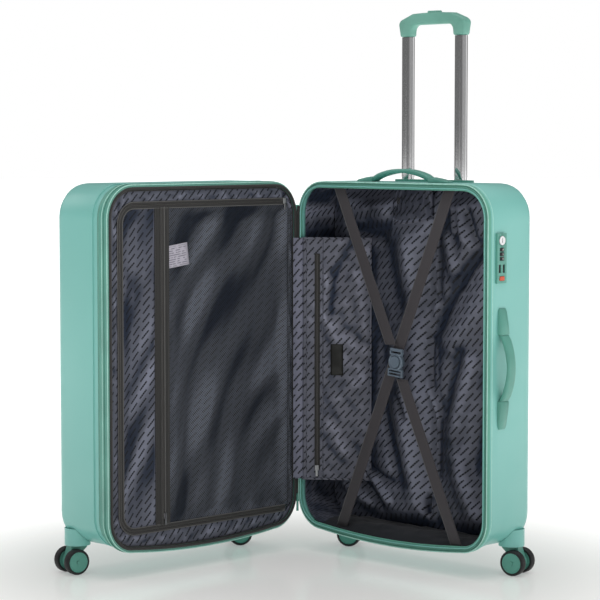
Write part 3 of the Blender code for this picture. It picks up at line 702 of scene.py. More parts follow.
WALL_FOLDS = (
    # the trolley cover's slanting left edge and the hollow beside it
    ((0.165, 0.640), (0.215, 0.520), 0.030, -0.008),
    ((0.150, 0.470), (0.185, 0.330), 0.026, -0.008),
    ((0.235, 0.620), (0.262, 0.330), 0.022, 0.007),
    # the hump under the top rim, and the ledge under it
    ((0.060, 0.700), (0.165, 0.685), 0.020, 0.010),
    ((0.060, 0.655), (0.150, 0.640), 0.010, -0.010),
    # seam beside the trolley cover, with its ruffle
    ((0.301, 0.650), (0.302, 0.530), 0.0030, 0.0060),
    ((0.308, 0.650), (0.309, 0.530), 0.0035, -0.0060),
    ((0.300, 0.510), (0.291, 0.470), 0.0060, 0.0070),
    ((0.277, 0.440), (0.281, 0.350), 0.0030, 0.0050),
    ((0.284, 0.440), (0.288, 0.350), 0.0035, -0.0060),
    ((0.283, 0.345), (0.302, 0.290), 0.0035, 0.0060),
    ((0.303, 0.285), (0.304, 0.170), 0.0035, 0.0055),
    ((0.310, 0.285), (0.311, 0.170), 0.0040, -0.0060),
    # the deep slanting hollow on the right and the folds under it
    ((0.430, 0.640), (0.360, 0.560), 0.016, -0.016),
    ((0.360, 0.560), (0.305, 0.470), 0.015, -0.011),
    ((0.330, 0.640), (0.350, 0.560), 0.012, 0.008),
    ((0.440, 0.560), (0.350, 0.440), 0.030, 0.010),
    ((0.345, 0.700), (0.352, 0.655), 0.0060, 0.0080),
    ((0.362, 0.705), (0.372, 0.640), 0.0070, 0.0070),
    ((0.385, 0.690), (0.400, 0.640), 0.010, -0.008),
    ((0.395, 0.400), (0.345, 0.260), 0.017, 0.009),
    ((0.360, 0.420), (0.318, 0.300), 0.014, -0.010),
    ((0.430, 0.330), (0.395, 0.200), 0.020, -0.010),
    ((0.350, 0.220), (0.400, 0.110), 0.020, 0.008),
    # lower middle: the hollow that runs down to the floor, and the slit by it
    ((0.165, 0.300), (0.212, 0.160), 0.020, -0.013),
    ((0.230, 0.270), (0.262, 0.120), 0.022, 0.008),
    ((0.205, 0.320), (0.232, 0.280), 0.0050, -0.0060),
    ((0.214, 0.330), (0.240, 0.290), 0.0050, 0.0040),
    ((0.286, 0.128), (0.284, 0.098), 0.0040, -0.0120),
    # lower left: a bunch of folds radiating from under the flap
    ((0.110, 0.165), (0.185, 0.112), 0.0090, 0.0090),
    ((0.100, 0.140), (0.160, 0.098), 0.0080, -0.0070),
    ((0.100, 0.175), (0.190, 0.150), 0.0080, -0.0070),
    ((0.050, 0.130), (0.120, 0.095), 0.0090, 0.0070),
)


def back_wall_forward(u, z):
    """How far the cloth of the back wall stands forward of its seat."""
    seam = 0.300 - 0.022 * bell(z, 0.400, 0.09)
    t = (u - 0.125) / (seam - 0.125)
    h = 0.004
    if 0.0 < t < 1.0:
        h += 0.022 * math.sin(math.pi * t ** 1.25) ** 0.75
    r = (u - seam) / (WIDTH - 0.012 - seam)
    if 0.0 < r < 1.0:
        h += 0.012 * math.sin(math.pi * r) ** 0.8
    h += 1.25 * folds(u, z, WALL_FOLDS)
    a = u * 0.50 + z * 0.87
    b = -u * 0.87 + z * 0.50
    h += 0.0040 * fold(b, a, 13.0, 2.3, (1.0, 0.3))
    h += 0.0022 * crease(b, a, 26.0, 5.1, (1.0, 0.25))
    h += 0.0013 * crease(u, z, 60.0, 8.7)
    edge = min(u - 0.008, WIDTH - 0.008 - u, z - 0.060, TOP - 0.008 - z)
    return max(h, 0.0) * smoothstep(edge / 0.04)


def unrolled(line, reach):
    """Cloth coordinates of a side strip folded flat, outwards from the back wall."""
    count = len(line)
    out = []
    for k in range(count):
        a = Vector(line[k - 1])
        b = Vector(line[(k + 1) % count])
        run = (b - a).normalized()
        out.append((line[k][0] + run.y * reach, line[k][1] - run.x * reach))
    return out + [out[0]]


BACK_LIP = 0.0125


def trolley_pouch():
    """A gathered pouch of lining over the tubes' upper ends, with its hem and loop."""
    u0, u1, z0, z1 = 0.186, 0.292, 0.678, 0.738
    skin = Skin()
    rows = []
    cloth = []
    heights = []
    for i in range(41):
        t = i / 40
        row = []
        high = []
        for j in range(61):
            s = j / 60
            u = u0 + (u1 - u0) * s
            z = z1 + (z0 - 0.010 * math.sin(math.pi * s) - z1) * t
            swell = 0.034 * math.sin(math.pi * s) ** 0.6 * (0.35 + 0.65 * t)
            swell += 0.006 * crease(u, z, 60.0, 3.3, (1.6, 0.5)) * (1 - 0.6 * t)
            row.append(back(u, LINING_BACK - 0.012 - swell, z))
            high.append(swell)
        rows.append(row)
        heights.append(high)
        cloth.append([(u0 + 0.12 * j / 60, z) for j in range(61)])
    under = [back(u0 + (u1 - u0) * j / 60, LINING_BACK - 0.020,
                  z0 + 0.012 - 0.004 * math.sin(math.pi * j / 60)) for j in range(61)]
    rows.append(under)
    heights.append([0.0] * 61)
    cloth.append([(u0 + 0.12 * j / 60, z0 - 0.03) for j in range(61)])
    skin.grid(rows, cloth, shades=relief(heights, 2, 0.008, 0.030))
    pouch = skin.build("trolley_pouch", [cloth_pouch], "case", 0.0008, 0.0)
    sweep("pouch_hem", rows[-2], round_section(0.0011), Vector((0, -1, 0)), [cloth_flap], "case",
          closed=False)
    loop = [back(0.232 + 0.003 * math.sin(a), LINING_BACK - 0.052, 0.712 + 0.006 * math.cos(a))
            for a in [2 * math.pi * i / 16 for i in range(16)]]
    sweep("pouch_loop", loop, round_section(0.0009), Vector((0, -1, 0)), [dark_tape], "case")


def edge_dim(u, z):
    """Extra shade in the cavity's corners, beside the flap and along the deepest folds."""
    dim = 0.10 * smoothstep((0.062 - (TOP - z)) / 0.045)
    beside = smoothstep((z - 0.13) / 0.03) * smoothstep((0.64 - z) / 0.03)
    dim += 0.45 * beside * smoothstep((0.152 - u) / 0.030)
    dim += 0.12 * smoothstep((u - 0.43) / 0.05)
    return dim + folds(u, z, WALL_SHADES)


# Painted shade bands on the back wall: from (u, z), to (u, z), width, darkness.
WALL_SHADES = (
    ((0.450, 0.655), (0.350, 0.555), 0.018, 0.48),
    ((0.350, 0.555), (0.300, 0.450), 0.018, 0.32),
    ((0.150, 0.660), (0.215, 0.500), 0.036, 0.16),
    ((0.160, 0.460), (0.200, 0.330), 0.034, 0.20),
    ((0.170, 0.310), (0.215, 0.150), 0.024, 0.36),
    ((0.330, 0.420), (0.345, 0.200), 0.020, 0.24),
    ((0.430, 0.400), (0.420, 0.180), 0.022, 0.28),
    ((0.330, 0.690), (0.325, 0.610), 0.014, 0.30),
    ((0.100, 0.700), (0.170, 0.712), 0.008, 0.25),
    ((0.040, 0.655), (0.130, 0.645), 0.012, 0.22),
    ((0.120, 0.100), (0.300, 0.085), 0.014, 0.20),
    ((0.288, 0.128), (0.283, 0.098), 0.004, 0.60),
    ((0.310, 0.640), (0.311, 0.170), 0.0045, 0.25),
)


# Painted highlight and painted shade on the hinge-side strip: from (u, z), to (u, z), width, darkness (below
# zero it lightens).
SIDE_SHADES = (
    ((0.012, 0.692), (0.012, 0.676), 0.011, -0.75),
    ((0.012, 0.652), (0.012, 0.640), 0.012, 0.28),
    ((0.030, 0.730), (0.014, 0.706), 0.010, 0.35),
)


def back_lining():
    skin = Skin()
    rows = []
    cloth = []
    z0 = BOTTOM + BOTTOM_RISE + 0.0075
    z1 = TOP - 0.0078
    r = CORNER_R - 0.0078
    low_u = HINGE_GAP + 0.0078
    high_u = WIDTH - 0.0078
    row_count = 200
    col_count = 150
    heights = []
    dims = []
    for i in range(row_count + 1):
        z = z0 + (z1 - z0) * i / row_count
        pull = 0.0
        if z < z0 + r:
            pull = r - math.sqrt(max(r * r - (z0 + r - z) ** 2, 0.0))
        if z > z1 - r:
            pull = r - math.sqrt(max(r * r - (z - z1 + r) ** 2, 0.0))
        us = [low_u + pull + (high_u - low_u - 2 * pull) * j / col_count for j in range(col_count + 1)]
        heights.append([back_wall_forward(u, z) for u in us])
        rows.append([back(u, LINING_BACK - 0.002 - h, z) for u, h in zip(us, heights[-1])])
        cloth.append([(u, z) for u in us])
        dims.append([edge_dim(u, z) for u in us])
    # painted shade and highlight from the wall's folds, less the painted shade of edge_dim and WALL_SHADES
    shades = relief(heights, 4, 0.009, 0.016)
    shades = [[max(a - b, 0.0) for a, b in zip(x, y)] for x, y in zip(shades, dims)]
    skin.grid(rows, cloth, shades=shades)
    rows = []
    cloth = []
    strip_start = len(skin.faces)
    pushes = []
    for i in range(29):
        t = i / 28
        d = BACK_LIP + (LINING_BACK - 0.003 - BACK_LIP) * t
        inset = 0.0072 + 0.0010 * math.sin(math.pi * t)
        line = case_line(d, inset)
        run = lengths([(u, z, 0) for u, z in line] + [(*line[0], 0)])
        ring = []
        strip_push = []
        for k, (u, z) in enumerate(line):
            push = 0.0050 * abs(fold(run[k], d, 26.0, 4.4, (1.0, 1.2))) + 0.0018 * fold(run[k], d, 80.0, 6.0)
            push = max(push, 0.0) * smoothstep(t * 5)
            strip_push.append(push)
            mid = Vector((WIDTH / 2, (TOP + BOTTOM) / 2))
            inward = (mid - Vector((u, z))).normalized()
            ring.append(back(u + inward.x * push, d, z + inward.y * push))
        rows.append(ring)
        cloth.append(unrolled(line, LINING_BACK - d))
        pushes.append(strip_push)
    # painted shade on the side strip from its folds, darker all over, with the SIDE_SHADES bands and
    # highlight on the hinge side
    shades = relief(pushes, 3, 0.006, 0.010, 2, 3)
    for row in shades:
        for k, (u, z) in enumerate(line):
            row[k] = max(row[k] - 0.16 - (folds(u, z, SIDE_SHADES) if u < 0.05 else 0.0), 0.0)
    skin.grid(rows, cloth, wrap=True, shades=shades)
    line = case_line(0.06, 0.0072)
    count = len(line)
    # faces low on the strip take the floor cloth in painted shade
    for f in range(strip_start, len(skin.faces)):
        u, z = line[(f - strip_start) % count]
        if z < 0.072 and u > 0.05:
            skin.slots[f] = 1
    piece = skin.build("back_lining_cloth", [cloth_back, floor_cloth_painted_shade], "case", 0.0008, flip=True)
    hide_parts("back_lining")


def front_lining():
    skin = Skin()
    rows = []
    cloth = []
    ends = [(0.031 + 0.085 * i / 10, 0.0068) for i in range(11)]
    ends += [(0.116 + 0.022 * math.sin(a), 0.0068 + 0.022 * (1 - math.cos(a)))
             for a in [math.radians(90 * i / 6) for i in range(1, 7)]]
    for d, inset in ends:
        line = case_line(d, inset)
        run = lengths([(u, z, 0) for u, z in line] + [(*line[0], 0)])
        rows.append([front(u, d - 0.004 * abs(fold(u, z, 14.0, 3.0)), z) for u, z in line])
        cloth.append([(s, d + inset) for s in run])
    skin.grid(rows, cloth, wrap=True)
    edge = case_line(0.138, ends[-1][1])
    middle = Vector(((HINGE_GAP + WIDTH) / 2, (BOTTOM + TOP) / 2))
    steps = 40
    rows = []
    cloth = []
    heights = []
    for i in range(steps + 1):
        t = 1.0 - 0.9985 * i / steps
        line = [middle + (Vector(p) - middle) * t for p in edge]
        swell = smoothstep((1.0 - t) / 0.15)
        high = [0.004 * abs(fold(p.x, p.y, 14.0, 3.0))
                + swell * (0.0035 + 0.0035 * crease(p.x, p.y, 9.0, 6.1)) for p in line]
        heights.append(high)
        rows.append([front(p.x, 0.138 - h, p.y) for p, h in zip(line, high)])
        cloth.append([tuple(p) for p in line] + [tuple(line[0])])
    skin.grid(rows, cloth, wrap=True, shades=relief(heights, 2, 0.006, 0.006, 2, 2))
    piece = skin.build("front_lining_cloth", [cloth_front], "front_case", 0.0008, flip=True)
    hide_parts("front_lining")


# ---- straps and buckle ------------------------------------------------------------------
def strap(node, half_turn):
    """Webbing between the corners of its CAD strip, with soft selvedges."""
    low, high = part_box(node)
    middle_y = (low.y + high.y) / 2
    half = 0.5 * STRAP_RUN
    ends = (low.x + half, high.x - half)
    bottom_x = ends[1] if half_turn < 0 else ends[0]
    top_x = ends[0] if half_turn < 0 else ends[1]
    rows = []
    cloth = []
    count = 60
    for i in range(count + 1):
        t = i / count
        x = bottom_x + (top_x - bottom_x) * t
        z = low.z + (high.z - low.z) * t
        row = []
        for j in range(9):
            s = j / 8 - 0.5
            belly = 0.0006 * math.cos(math.pi * s) + 0.0004 * fold(t, s, 3.0, 1.0 + half_turn)
            row.append(Vector((x + STRAP_RUN * s, middle_y - belly, z)))
        rows.append(row)
        cloth.append([(z * 1.1, 0.026 * (j / 8)) for j in range(9)])
    skin = Skin()
    skin.grid(rows, cloth)
    piece = skin.build(node + "_webbing", [webbing], "case", 0.0013, 0.0)
    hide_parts(node)


STRAP_RUN = 0.0284


def buckle():
    """Bars, slots and boss of the centre buckle, in line with the crossing straps."""
    low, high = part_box("buckle_button")
    centre = (low + high) / 2
    front_y, back_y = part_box("buckle_plug")[0].y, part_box("buckle_plug")[1].y
    place = Matrix.Translation((centre.x, 0, centre.z)) @ Matrix.Rotation(-BUCKLE_TILT, 4, "Y")
    mid_y = (front_y + back_y) / 2
    rings = []
    for grow, y in ((0.0, back_y), (0.0, front_y + 0.0006), (0.0005, front_y), (0.0034, front_y),
                    (0.0044, front_y + 0.0010), (0.0046, back_y)):
        rings.append([place @ Vector(((0.0124 + grow) * math.cos(a) * 1.06, y, (0.0124 + grow) * math.sin(a)))
                      for a in [2 * math.pi * i / 48 for i in range(48)]])
    rings.append(rings[0])
    skin = Skin()
    skin.grid(rings, [[(0, 0)] * 49] * len(rings), wrap=True)
    boss = skin.build("buckle_boss", [buckle_blue], "case")
    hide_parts("buckle_socket", "buckle_plug")
    plate_y = (mid_y, back_y - 0.0005)
    bar_y = (front_y + 0.0008, back_y - 0.0020)
    for name, x, y, z in (
            ("plate", (-0.0140, 0.0140), plate_y, (-0.0130, 0.0165)),
            ("bar_upper", (-0.0160, 0.0160), bar_y, (0.0205, 0.0262)),
            ("bar_middle", (-0.0150, 0.0150), bar_y, (0.0130, 0.0168)),
            ("rail_upper_a", (-0.0160, -0.0132), bar_y, (0.0150, 0.0240)),
            ("rail_upper_b", (0.0132, 0.0160), bar_y, (0.0150, 0.0240)),
            ("bar_lower", (-0.0185, 0.0185), bar_y, (-0.0288, -0.0258)),
            ("rung_lower", (-0.0175, 0.0175), bar_y, (-0.0222, -0.0196)),
            ("collar", (-0.0165, 0.0165), bar_y, (-0.0168, -0.0128)),
            ("rail_lower_a", (-0.0185, -0.0158), bar_y, (-0.0275, -0.0140)),
            ("rail_lower_b", (0.0158, 0.0185), bar_y, (-0.0275, -0.0140))):
        block("buckle_" + name, place, x, y, z, [buckle_blue], "case", 0.0009)


BUCKLE_TILT = math.radians(-4.0)


# ---- pocket flap -------------------------------------------------------------------------
def flap():
    axis = Vector(joints["flap_hinge"]["pos_m"])
    z0, z1 = (corner.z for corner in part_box("pocket_flap"))
    out = Vector((math.cos(FLAP_TURN), math.sin(FLAP_TURN), 0))
    face = Vector((math.sin(FLAP_TURN), -math.cos(FLAP_TURN), 0))
    base = Vector((axis.x, axis.y, 0))

    def spot(r, z, lift=0.0):
        lift += folds(r, z, FLAP_FOLDS)
        billow = 0.0022 * math.sin(math.pi * min(max((r - 0.036) / 0.104, 0), 1)) * math.sin(
            math.pi * (z - z0) / (z1 - z0))
        wave = 0.0018 * fold(r, z, 16.0, 7.7, (1.2, 0.6)) + 0.0012 * fold(r, z, 55.0, 3.1)
        return base + out * r + face * (billow + wave * smoothstep(r / 0.02) + lift) + Vector((0, 0, z))

    rs = [0.0015 + (FLAP_WIDTH - 0.0015) * j / 60 for j in range(61)]
    zs = [z0 + (z1 - z0) * i / 160 for i in range(161)]
    heights = [[(spot(r, z) - base).dot(face) for r in rs] for z in zs]
    # painted shade and highlight from the flap's folds, less the FLAP_SHADES bands
    shades = relief(heights, 3, 0.0040, 0.0065)
    shades = [[v - folds(r, z, FLAP_SHADES) for r, v in zip(rs, row)] for z, row in zip(zs, shades)]
    skin = Skin()
    skin.grid([[spot(r, z, -0.0006) for r in rs] for z in zs], [[(r, z) for r in rs] for z in zs],
              shades=shades)
    page = skin.build("flap_page", [cloth_flap], "flap", 0.0014, 0.0)
    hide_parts("pocket_flap")
    zip_low = z0 + 0.021
    zip_high = z1 - 0.033
    count = 100
    for name, r, width, mat, lift, thick in (
            ("flap_zip_tape", 0.0325, 0.0108, dark_tape, 0.0006, 0.0006),
            ("flap_zip_coil", 0.0325, 0.0040, dark_coil, 0.0010, 0.0016)):
        path = [spot(r, zip_low + (zip_high - zip_low) * i / count, lift) for i in range(count + 1)]
        sweep(name, path, flat_section(width, thick, thick * 0.5), face, [mat], "flap", closed=False)
    for name, r in (("flap_edge_free", FLAP_WIDTH - 0.0015), ("flap_seam", 0.0105), ("flap_stitch", 0.0440)):
        path = [spot(r, z0 + (z1 - z0) * i / count, 0.0004) for i in range(count + 1)]
        wide = 0.0034 if name == "flap_edge_free" else 0.0016
        sweep(name, path, flat_section(wide, 0.0008, 0.0006), face, [cloth_flap], "flap", closed=False)
    for name, z in (("flap_hem_top", z1 - 0.002), ("flap_hem_bottom", z0 + 0.002)):
        path = [spot(0.004 + (FLAP_WIDTH - 0.006) * i / 40, z, 0.0003) for i in range(41)]
        sweep(name, path, flat_section(0.0042, 0.0009, 0.0006), face, [cloth_flap], "flap", closed=False)
    label = Skin()
    us = [0.060 + 0.0255 * j / 6 for j in range(7)]
    ls = [0.357 + 0.063 * i / 14 for i in range(15)]
    label.grid([[spot(u, z, 0.0014) for u in us] for z in ls], [[(u, z) for u in us] for z in ls])
    label = label.build("flap_label", [black_label], "flap", 0.0010)
    slider_z = (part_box("flap_zip_slider")[0].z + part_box("flap_zip_slider")[1].z) / 2
    where = base + out * 0.032 + face * 0.0022 + Vector((0, 0, slider_z))
    zip_slider("flap_zip_pull", upright(out, face, where), "flap_slider", "flap_zip_slider", zip_grey)


FLAP_FOLDS = (
    ((0.104, 0.634), (0.064, 0.560), 0.011, -0.0040),
    ((0.064, 0.560), (0.056, 0.470), 0.008, -0.0040),
    ((0.132, 0.600), (0.088, 0.500), 0.018, 0.0035),
    ((0.052, 0.470), (0.080, 0.380), 0.012, 0.0030),
    ((0.090, 0.450), (0.130, 0.420), 0.012, -0.0030),
    ((0.060, 0.340), (0.105, 0.290), 0.014, -0.0018),
    ((0.070, 0.300), (0.120, 0.350), 0.014, 0.0030),
    ((0.055, 0.250), (0.085, 0.200), 0.012, 0.0030),
    ((0.095, 0.240), (0.125, 0.180), 0.015, -0.0020),
    ((0.110, 0.560), (0.132, 0.400), 0.010, 0.0025),
)
# Painted shade bands on the flap: from (r, z), to (r, z), width, darkness.
FLAP_SHADES = (
    ((0.104, 0.630), (0.066, 0.570), 0.013, 0.26),
    ((0.066, 0.570), (0.056, 0.480), 0.010, 0.14),
    ((0.050, 0.330), (0.090, 0.270), 0.014, 0.10),
    ((0.130, 0.230), (0.080, 0.160), 0.016, 0.12),
    ((0.138, 0.520), (0.138, 0.300), 0.006, 0.20),
)
FLAP_WIDTH = 0.1424
FLAP_TURN = math.radians(38)
black_label = trim_material("black_label", linear(14, 15, 11), 0.6, 0.3)


def upright(across, outward, where):
    """A frame that stands upright at a place, with its x across and its y outward."""
    place = Matrix.Identity(4)
    place.col[0] = (*across, 0)
    place.col[1] = (*outward, 0)
    place.translation = where
    return place


def zip_slider(name, place, body, node, mat):
    """A slider body with a bridge and a flat pull tab hanging down."""
    head = block(name, place, (-0.0040, 0.0040), (0.0, 0.0022), (-0.0050, 0.0060), [mat], body, 0.0008)
    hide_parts(node)
    for part, x, y, z in (("_bridge", 0.0010, (0.0018, 0.0036), (-0.0040, 0.0050)),
                          ("_tab", 0.0024, (0.0026, 0.0036), (-0.0165, -0.0030))):
        block(name + part, place, (-x, x), y, z, [mat], body, 0.0005)


# ---- the front half's mouth -----------------------------------------------------------------
def ring_path(line, place, d):
    return [place(u, d, z) for u, z in line]


def border():
    """Binding tape round the mouth and the gathered cloth inside it."""
    outer = case_line(0.0, 0.0120, HINGE_TAPE_INSET + 0.0010)
    inner = divider_line(0.0006)
    skin = Skin()
    rows = []
    cloth = []
    run = lengths([(u, z, 0) for u, z in outer] + [(*outer[0], 0)])
    steps = 14
    for i in range(steps + 1):
        t = i / steps
        row = []
        line_cloth = []
        for k, (o, n) in enumerate(zip(outer, inner)):
            u = o[0] + (n[0] - o[0]) * t
            z = o[1] + (n[1] - o[1]) * t
            gather = 0.0016 * noise.noise(Vector((run[k] * 95.0 + t * 1.6, t * 1.2, 1.0)))
            puff = 0.0012 * math.sin(math.pi * t)
            d = DIVIDER_FRONT + 0.0022 - 0.0022 * (1 - t) - puff - gather * math.sin(math.pi * t) ** 0.5 * 1.6
            row.append(front(u, d, z))
            line_cloth.append((u, z))
        rows.append(row)
        cloth.append(line_cloth + [line_cloth[0]])
    heights = [[p.x for p in row] for row in rows]
    skin.grid(rows, cloth, wrap=True, shades=relief(heights, 1, 0.0022, 0.0040, 1, 1))
    count = len(outer)
    for i in range(steps):
        for k in range(count):
            if outer[k][0] < DIVIDER_HINGE_U and 0.10 < outer[k][1] < 0.69:
                skin.slots[i * count + k] = 1
    piece = skin.build("border_cloth", [cloth_front, net], "lid", 0.0008, flip=True)
    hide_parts("divider_border")
    up = Vector((1, 0, 0))
    binding = case_line(0.0, 0.0086, 0.0030)
    sweep("mouth_binding", ring_path(binding, front, 0.0006),
          flat_section(0.0058, 0.0012, 0.0018), up, [dark_tape], "lid")
    side = [front(HINGE_GAP + 0.0008, -0.0002, 0.115 + 0.573 * i / 40) for i in range(41)]
    sweep("hinge_binding", side, flat_section(0.0082, 0.0010, 0.0014), up, [dark_tape], "lid", closed=False)
    side = [back(0.0036, -0.0006, 0.628 + 0.070 * i / 20) for i in range(21)]
    sweep("hinge_binding_back", side, flat_section(0.0074, 0.0008, 0.0008), Vector((0, -1, 0)), [dark_tape],
          "case", closed=False)
    seam = case_line(0.0, 0.0128, 0.0086)
    sweep("binding_seam", ring_path(seam, front, 0.0016), round_section(0.0010), up, [dark_tape], "lid")


def open_run(line, least_u):
    """The part of a closed line that lies past least_u, in order, without a break."""
    flags = [u > least_u for u, _ in line]
    count = len(line)
    start = next(i for i in range(count) if flags[i] and not flags[i - 1])
    out = []
    for k in range(count):
        i = (start + k) % count
        if not flags[i]:
            break
        out.append(line[i])
    return out


def track():
    """The zip round the divider panel: tape and piping on each side of one coil."""
    up = Vector((1, 0, 0))
    for name, grow, section, mat, body, d in (
            ("track_tape_outer", 0.0032, flat_section(0.0048, 0.0009, 0.0005), dark_tape, "lid", 0.0),
            ("track_piping_outer", 0.0058, round_section(0.0010), piping_painted_highlight, "lid", 0.0007),
            ("track_tape_inner", -0.0036, flat_section(0.0048, 0.0009, 0.0005), dark_tape, "divider", 0.0),
            ("track_piping_inner", -0.0066, round_section(0.0010), piping_painted_highlight, "divider", 0.0007),
            ("track_coil", -0.0004, round_section(0.0013, 0.8), dark_coil, "divider", 0.0004)):
        line = open_run(divider_line(grow), DIVIDER_HINGE_U + 0.010)
        path = ring_path(line, front, DIVIDER_FRONT - 0.0002 - d)
        sweep(name, path, section, up, [mat], body, closed=False)


def divider():
    """The divider's cloth strip, its zipped tape and the net beside it."""
    tape_u = (0.3435, 0.380)

    def depth(u, z):
        edge = min(u - DIVIDER_HINGE_U, DIVIDER_OUTER_U - u, z - 0.082, DIVIDER_HIGH.z - z)
        hold = smoothstep(edge / 0.03)
        if u > tape_u[0] - 0.01:
            hold *= smoothstep(abs(u - 0.361) / 0.045 - 0.35)
            a = u * 0.62 + z * -0.78
            return DIVIDER_FRONT + 0.0008 + hold * (0.0035 + 0.0055 * fold(a, u + z, 24.0, 3.3, (1.0, 0.15)))
        a = u * 0.80 + z * 0.60
        wave = math.sin(a * 56.0 + 7.5 * fold(u, z, 3.6, 1.7)) * (0.65 + 0.9 * fold(u, z, 3.0, 6.6))
        hold *= smoothstep((tape_u[0] - 0.008 - u) / 0.05)
        small = 0.0035 * fold(a, u - z, 17.0, 9.1, (1.0, 0.3))
        return DIVIDER_FRONT + 0.0010 + hold * (0.0085 - 0.0058 * wave + small)

    line = divider_line(-0.0010)
    z_of = {}
    skin = Skin()
    rows = []
    cloth = []
    rows_n = 170
    cols_n = 150
    span0 = DIVIDER_HINGE_U + 0.001
    span1 = DIVIDER_OUTER_U - 0.001
    for j in range(cols_n + 1):
        u = span0 + (span1 - span0) * j / cols_n
        z_of[j] = (u, interp(line, u, False), interp(line, u, True))
    for i in range(rows_n + 1):
        t = i / rows_n
        row = []
        crow = []
        for j in range(cols_n + 1):
            u, za, zb = z_of[j]
            z = za + (zb - za) * t
            row.append(front(u, depth(u, z), z))
            crow.append((u, z))
        rows.append(row)
        cloth.append(crow)
    heights = [[p.x - HINGE.x for p in row] for row in rows]
    shades = relief(heights, 3, 0.0060, 0.0100)
    # painted light and shade: slanting light and dark streaks added to the shade of the strip and the net
    for i, crow in enumerate(cloth):
        for j, (u, z) in enumerate(crow):
            a, b = u * 0.86 + z * 0.51, u * 0.51 - z * 0.86
            if u > tape_u[1]:
                shades[i][j] += 0.85 * fold(a, b, 34.0, 12.4, (1.0, 0.14))
            else:
                shades[i][j] += 0.60 * fold(a, b, 14.0, 15.1, (1.0, 0.32))
                shades[i][j] += 0.25 * fold(a, b, 40.0, 3.7, (1.0, 0.1))
    skin.grid(rows, cloth, shades=shades)
    skin.slots = [0 if z_of[c][0] > tape_u[0] + 0.02 else 1 for c in range(cols_n)] * rows_n
    piece = skin.build("divider_cloth", [cloth_front, net], "divider", 0.0008, flip=False)
    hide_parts("divider_panel")
    up = Vector((1, 0, 0))
    z_low = interp(line, 0.357, False) + 0.003
    z_high = interp(line, 0.357, True) - 0.003
    for name, u, section, mat, lift in (
            ("pocket_tape_outer", 0.3705, flat_section(0.0165, 0.0010, 0.0006), dark_tape, 0.0),
            ("pocket_tape_inner", 0.3525, flat_section(0.0165, 0.0010, 0.0006), dark_tape, 0.0),
            ("pocket_lip_outer", 0.3665, round_section(0.0014), dark_tape, 0.0012),
            ("pocket_lip_inner", 0.3560, round_section(0.0014), piping_painted_highlight, 0.0014),
            ("pocket_edge_outer", 0.3790, round_section(0.0012), dark_tape, 0.0008),
            ("pocket_edge_inner", 0.3446, round_section(0.0012), dark_tape, 0.0008),
            ("pocket_coil", 0.3610, round_section(0.0022, 0.6), dark_coil, 0.0010)):
        path = [front(u, DIVIDER_FRONT - 0.0001 - lift, z_low + (z_high - z_low) * i / 50) for i in range(51)]
        sweep(name, path, section, up, [mat], "divider", closed=False)
    label = Skin()
    tilt = math.radians(-7)
    us = [0.0620 * (j / 8 - 0.5) for j in range(9)]
    zs = [0.0430 * (i / 8 - 0.5) for i in range(9)]
    turned = [[(0.3245 + u * math.cos(tilt) - z * math.sin(tilt),
                0.6095 + u * math.sin(tilt) + z * math.cos(tilt)) for u in us] for z in zs]
    label.grid([[front(u, DIVIDER_FRONT - 0.0002, z) for u, z in row] for row in turned],
               [[(u, z) for u in us] for z in zs])
    label.build("care_label", [pale_label], "divider", 0.0005)
    for name, body, node, mat, lift in (
            ("pocket_pull", "pocket_slider", "pocket_zip_slider", dark_zip_metal, 0.0),
            ("panel_pull", "panel_slider", "panel_zip_slider", zip_pale, 0.008)):
        low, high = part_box(node)
        centre = (low + high) / 2
        where = Vector((HINGE.x - DIVIDER_FRONT + 0.0012, centre.y, centre.z + lift))
        zip_slider(name, upright((0, -1, 0), (1, 0, 0), where), body, node, mat)


def interp(line, u, upper):
    """Height of a closed outline's upper or lower side at u."""
    middle = (BOTTOM + TOP) / 2
    best = None
    count = len(line)
    for k in range(count):
        a, b = line[k], line[(k + 1) % count]
        if (a[1] + b[1] > 2 * middle) != upper:
            continue
        if min(a[0], b[0]) - 1e-9 <= u <= max(a[0], b[0]) + 1e-9 and abs(b[0] - a[0]) > 1e-9:
            z = a[1] + (b[1] - a[1]) * (u - a[0]) / (b[0] - a[0])
            best = z if best is None else (max(best, z) if upper else min(best, z))
    if best is None:
        zs = [z for _, z in line]
        best = max(zs) - 0.012 if upper else min(zs) + 0.012
    return best


def label_material():
    m = Mat("pale_label", linear(182, 178, 190), 0.7)
    x, y = m.cloth()
    lines = stripe(m, y, 0.0042, 0.45, 0.2)
    ends = m.ramp(m.noise(160.0, 1.0), 0.42, 0.5)
    inner = m.math("MULTIPLY", m.ramp(m.math("ABSOLUTE", x), 0.026, 0.028, 1.0, 0.0),
                   m.ramp(m.math("ABSOLUTE", y), 0.018, 0.020, 1.0, 0.0))
    marks = m.math("MULTIPLY", m.math("MULTIPLY", lines, ends), inner)
    m.set("Base Color", m.mix(marks, linear(190, 186, 198), linear(128, 124, 138)))
    return m.material


pale_label = label_material()


# ---- spine, gussets and rim zips -------------------------------------------------------------
def spine():
    """Cloth hinge: a strip from the lid's mouth round the hinge line to the back half."""
    section = [(0.0030, -0.0150), (0.0036, -0.0138), (0.0044, -0.0120), (0.0052, -0.0092),
               (0.0062, -0.0066), (0.0092, -0.0042), (0.0125, -0.0022), (0.0150, 0.0014)]
    z0, z1 = FLAP_Z
    piece = hinge_strip("spine_cloth", section, z0, z1, cloth_spine)
    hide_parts("spine_tape")
    outer = [(-0.0120, -0.0046), (-0.0060, -0.0030), (-0.0022, 0.0000), (0.0000, 0.0022),
             (0.0024, 0.0060), (0.0034, 0.0120)]
    tape = hinge_strip("spine_outer_tape", outer, 0.098, 0.700, green_tape)


FLAP_Z = (0.146, 0.634)


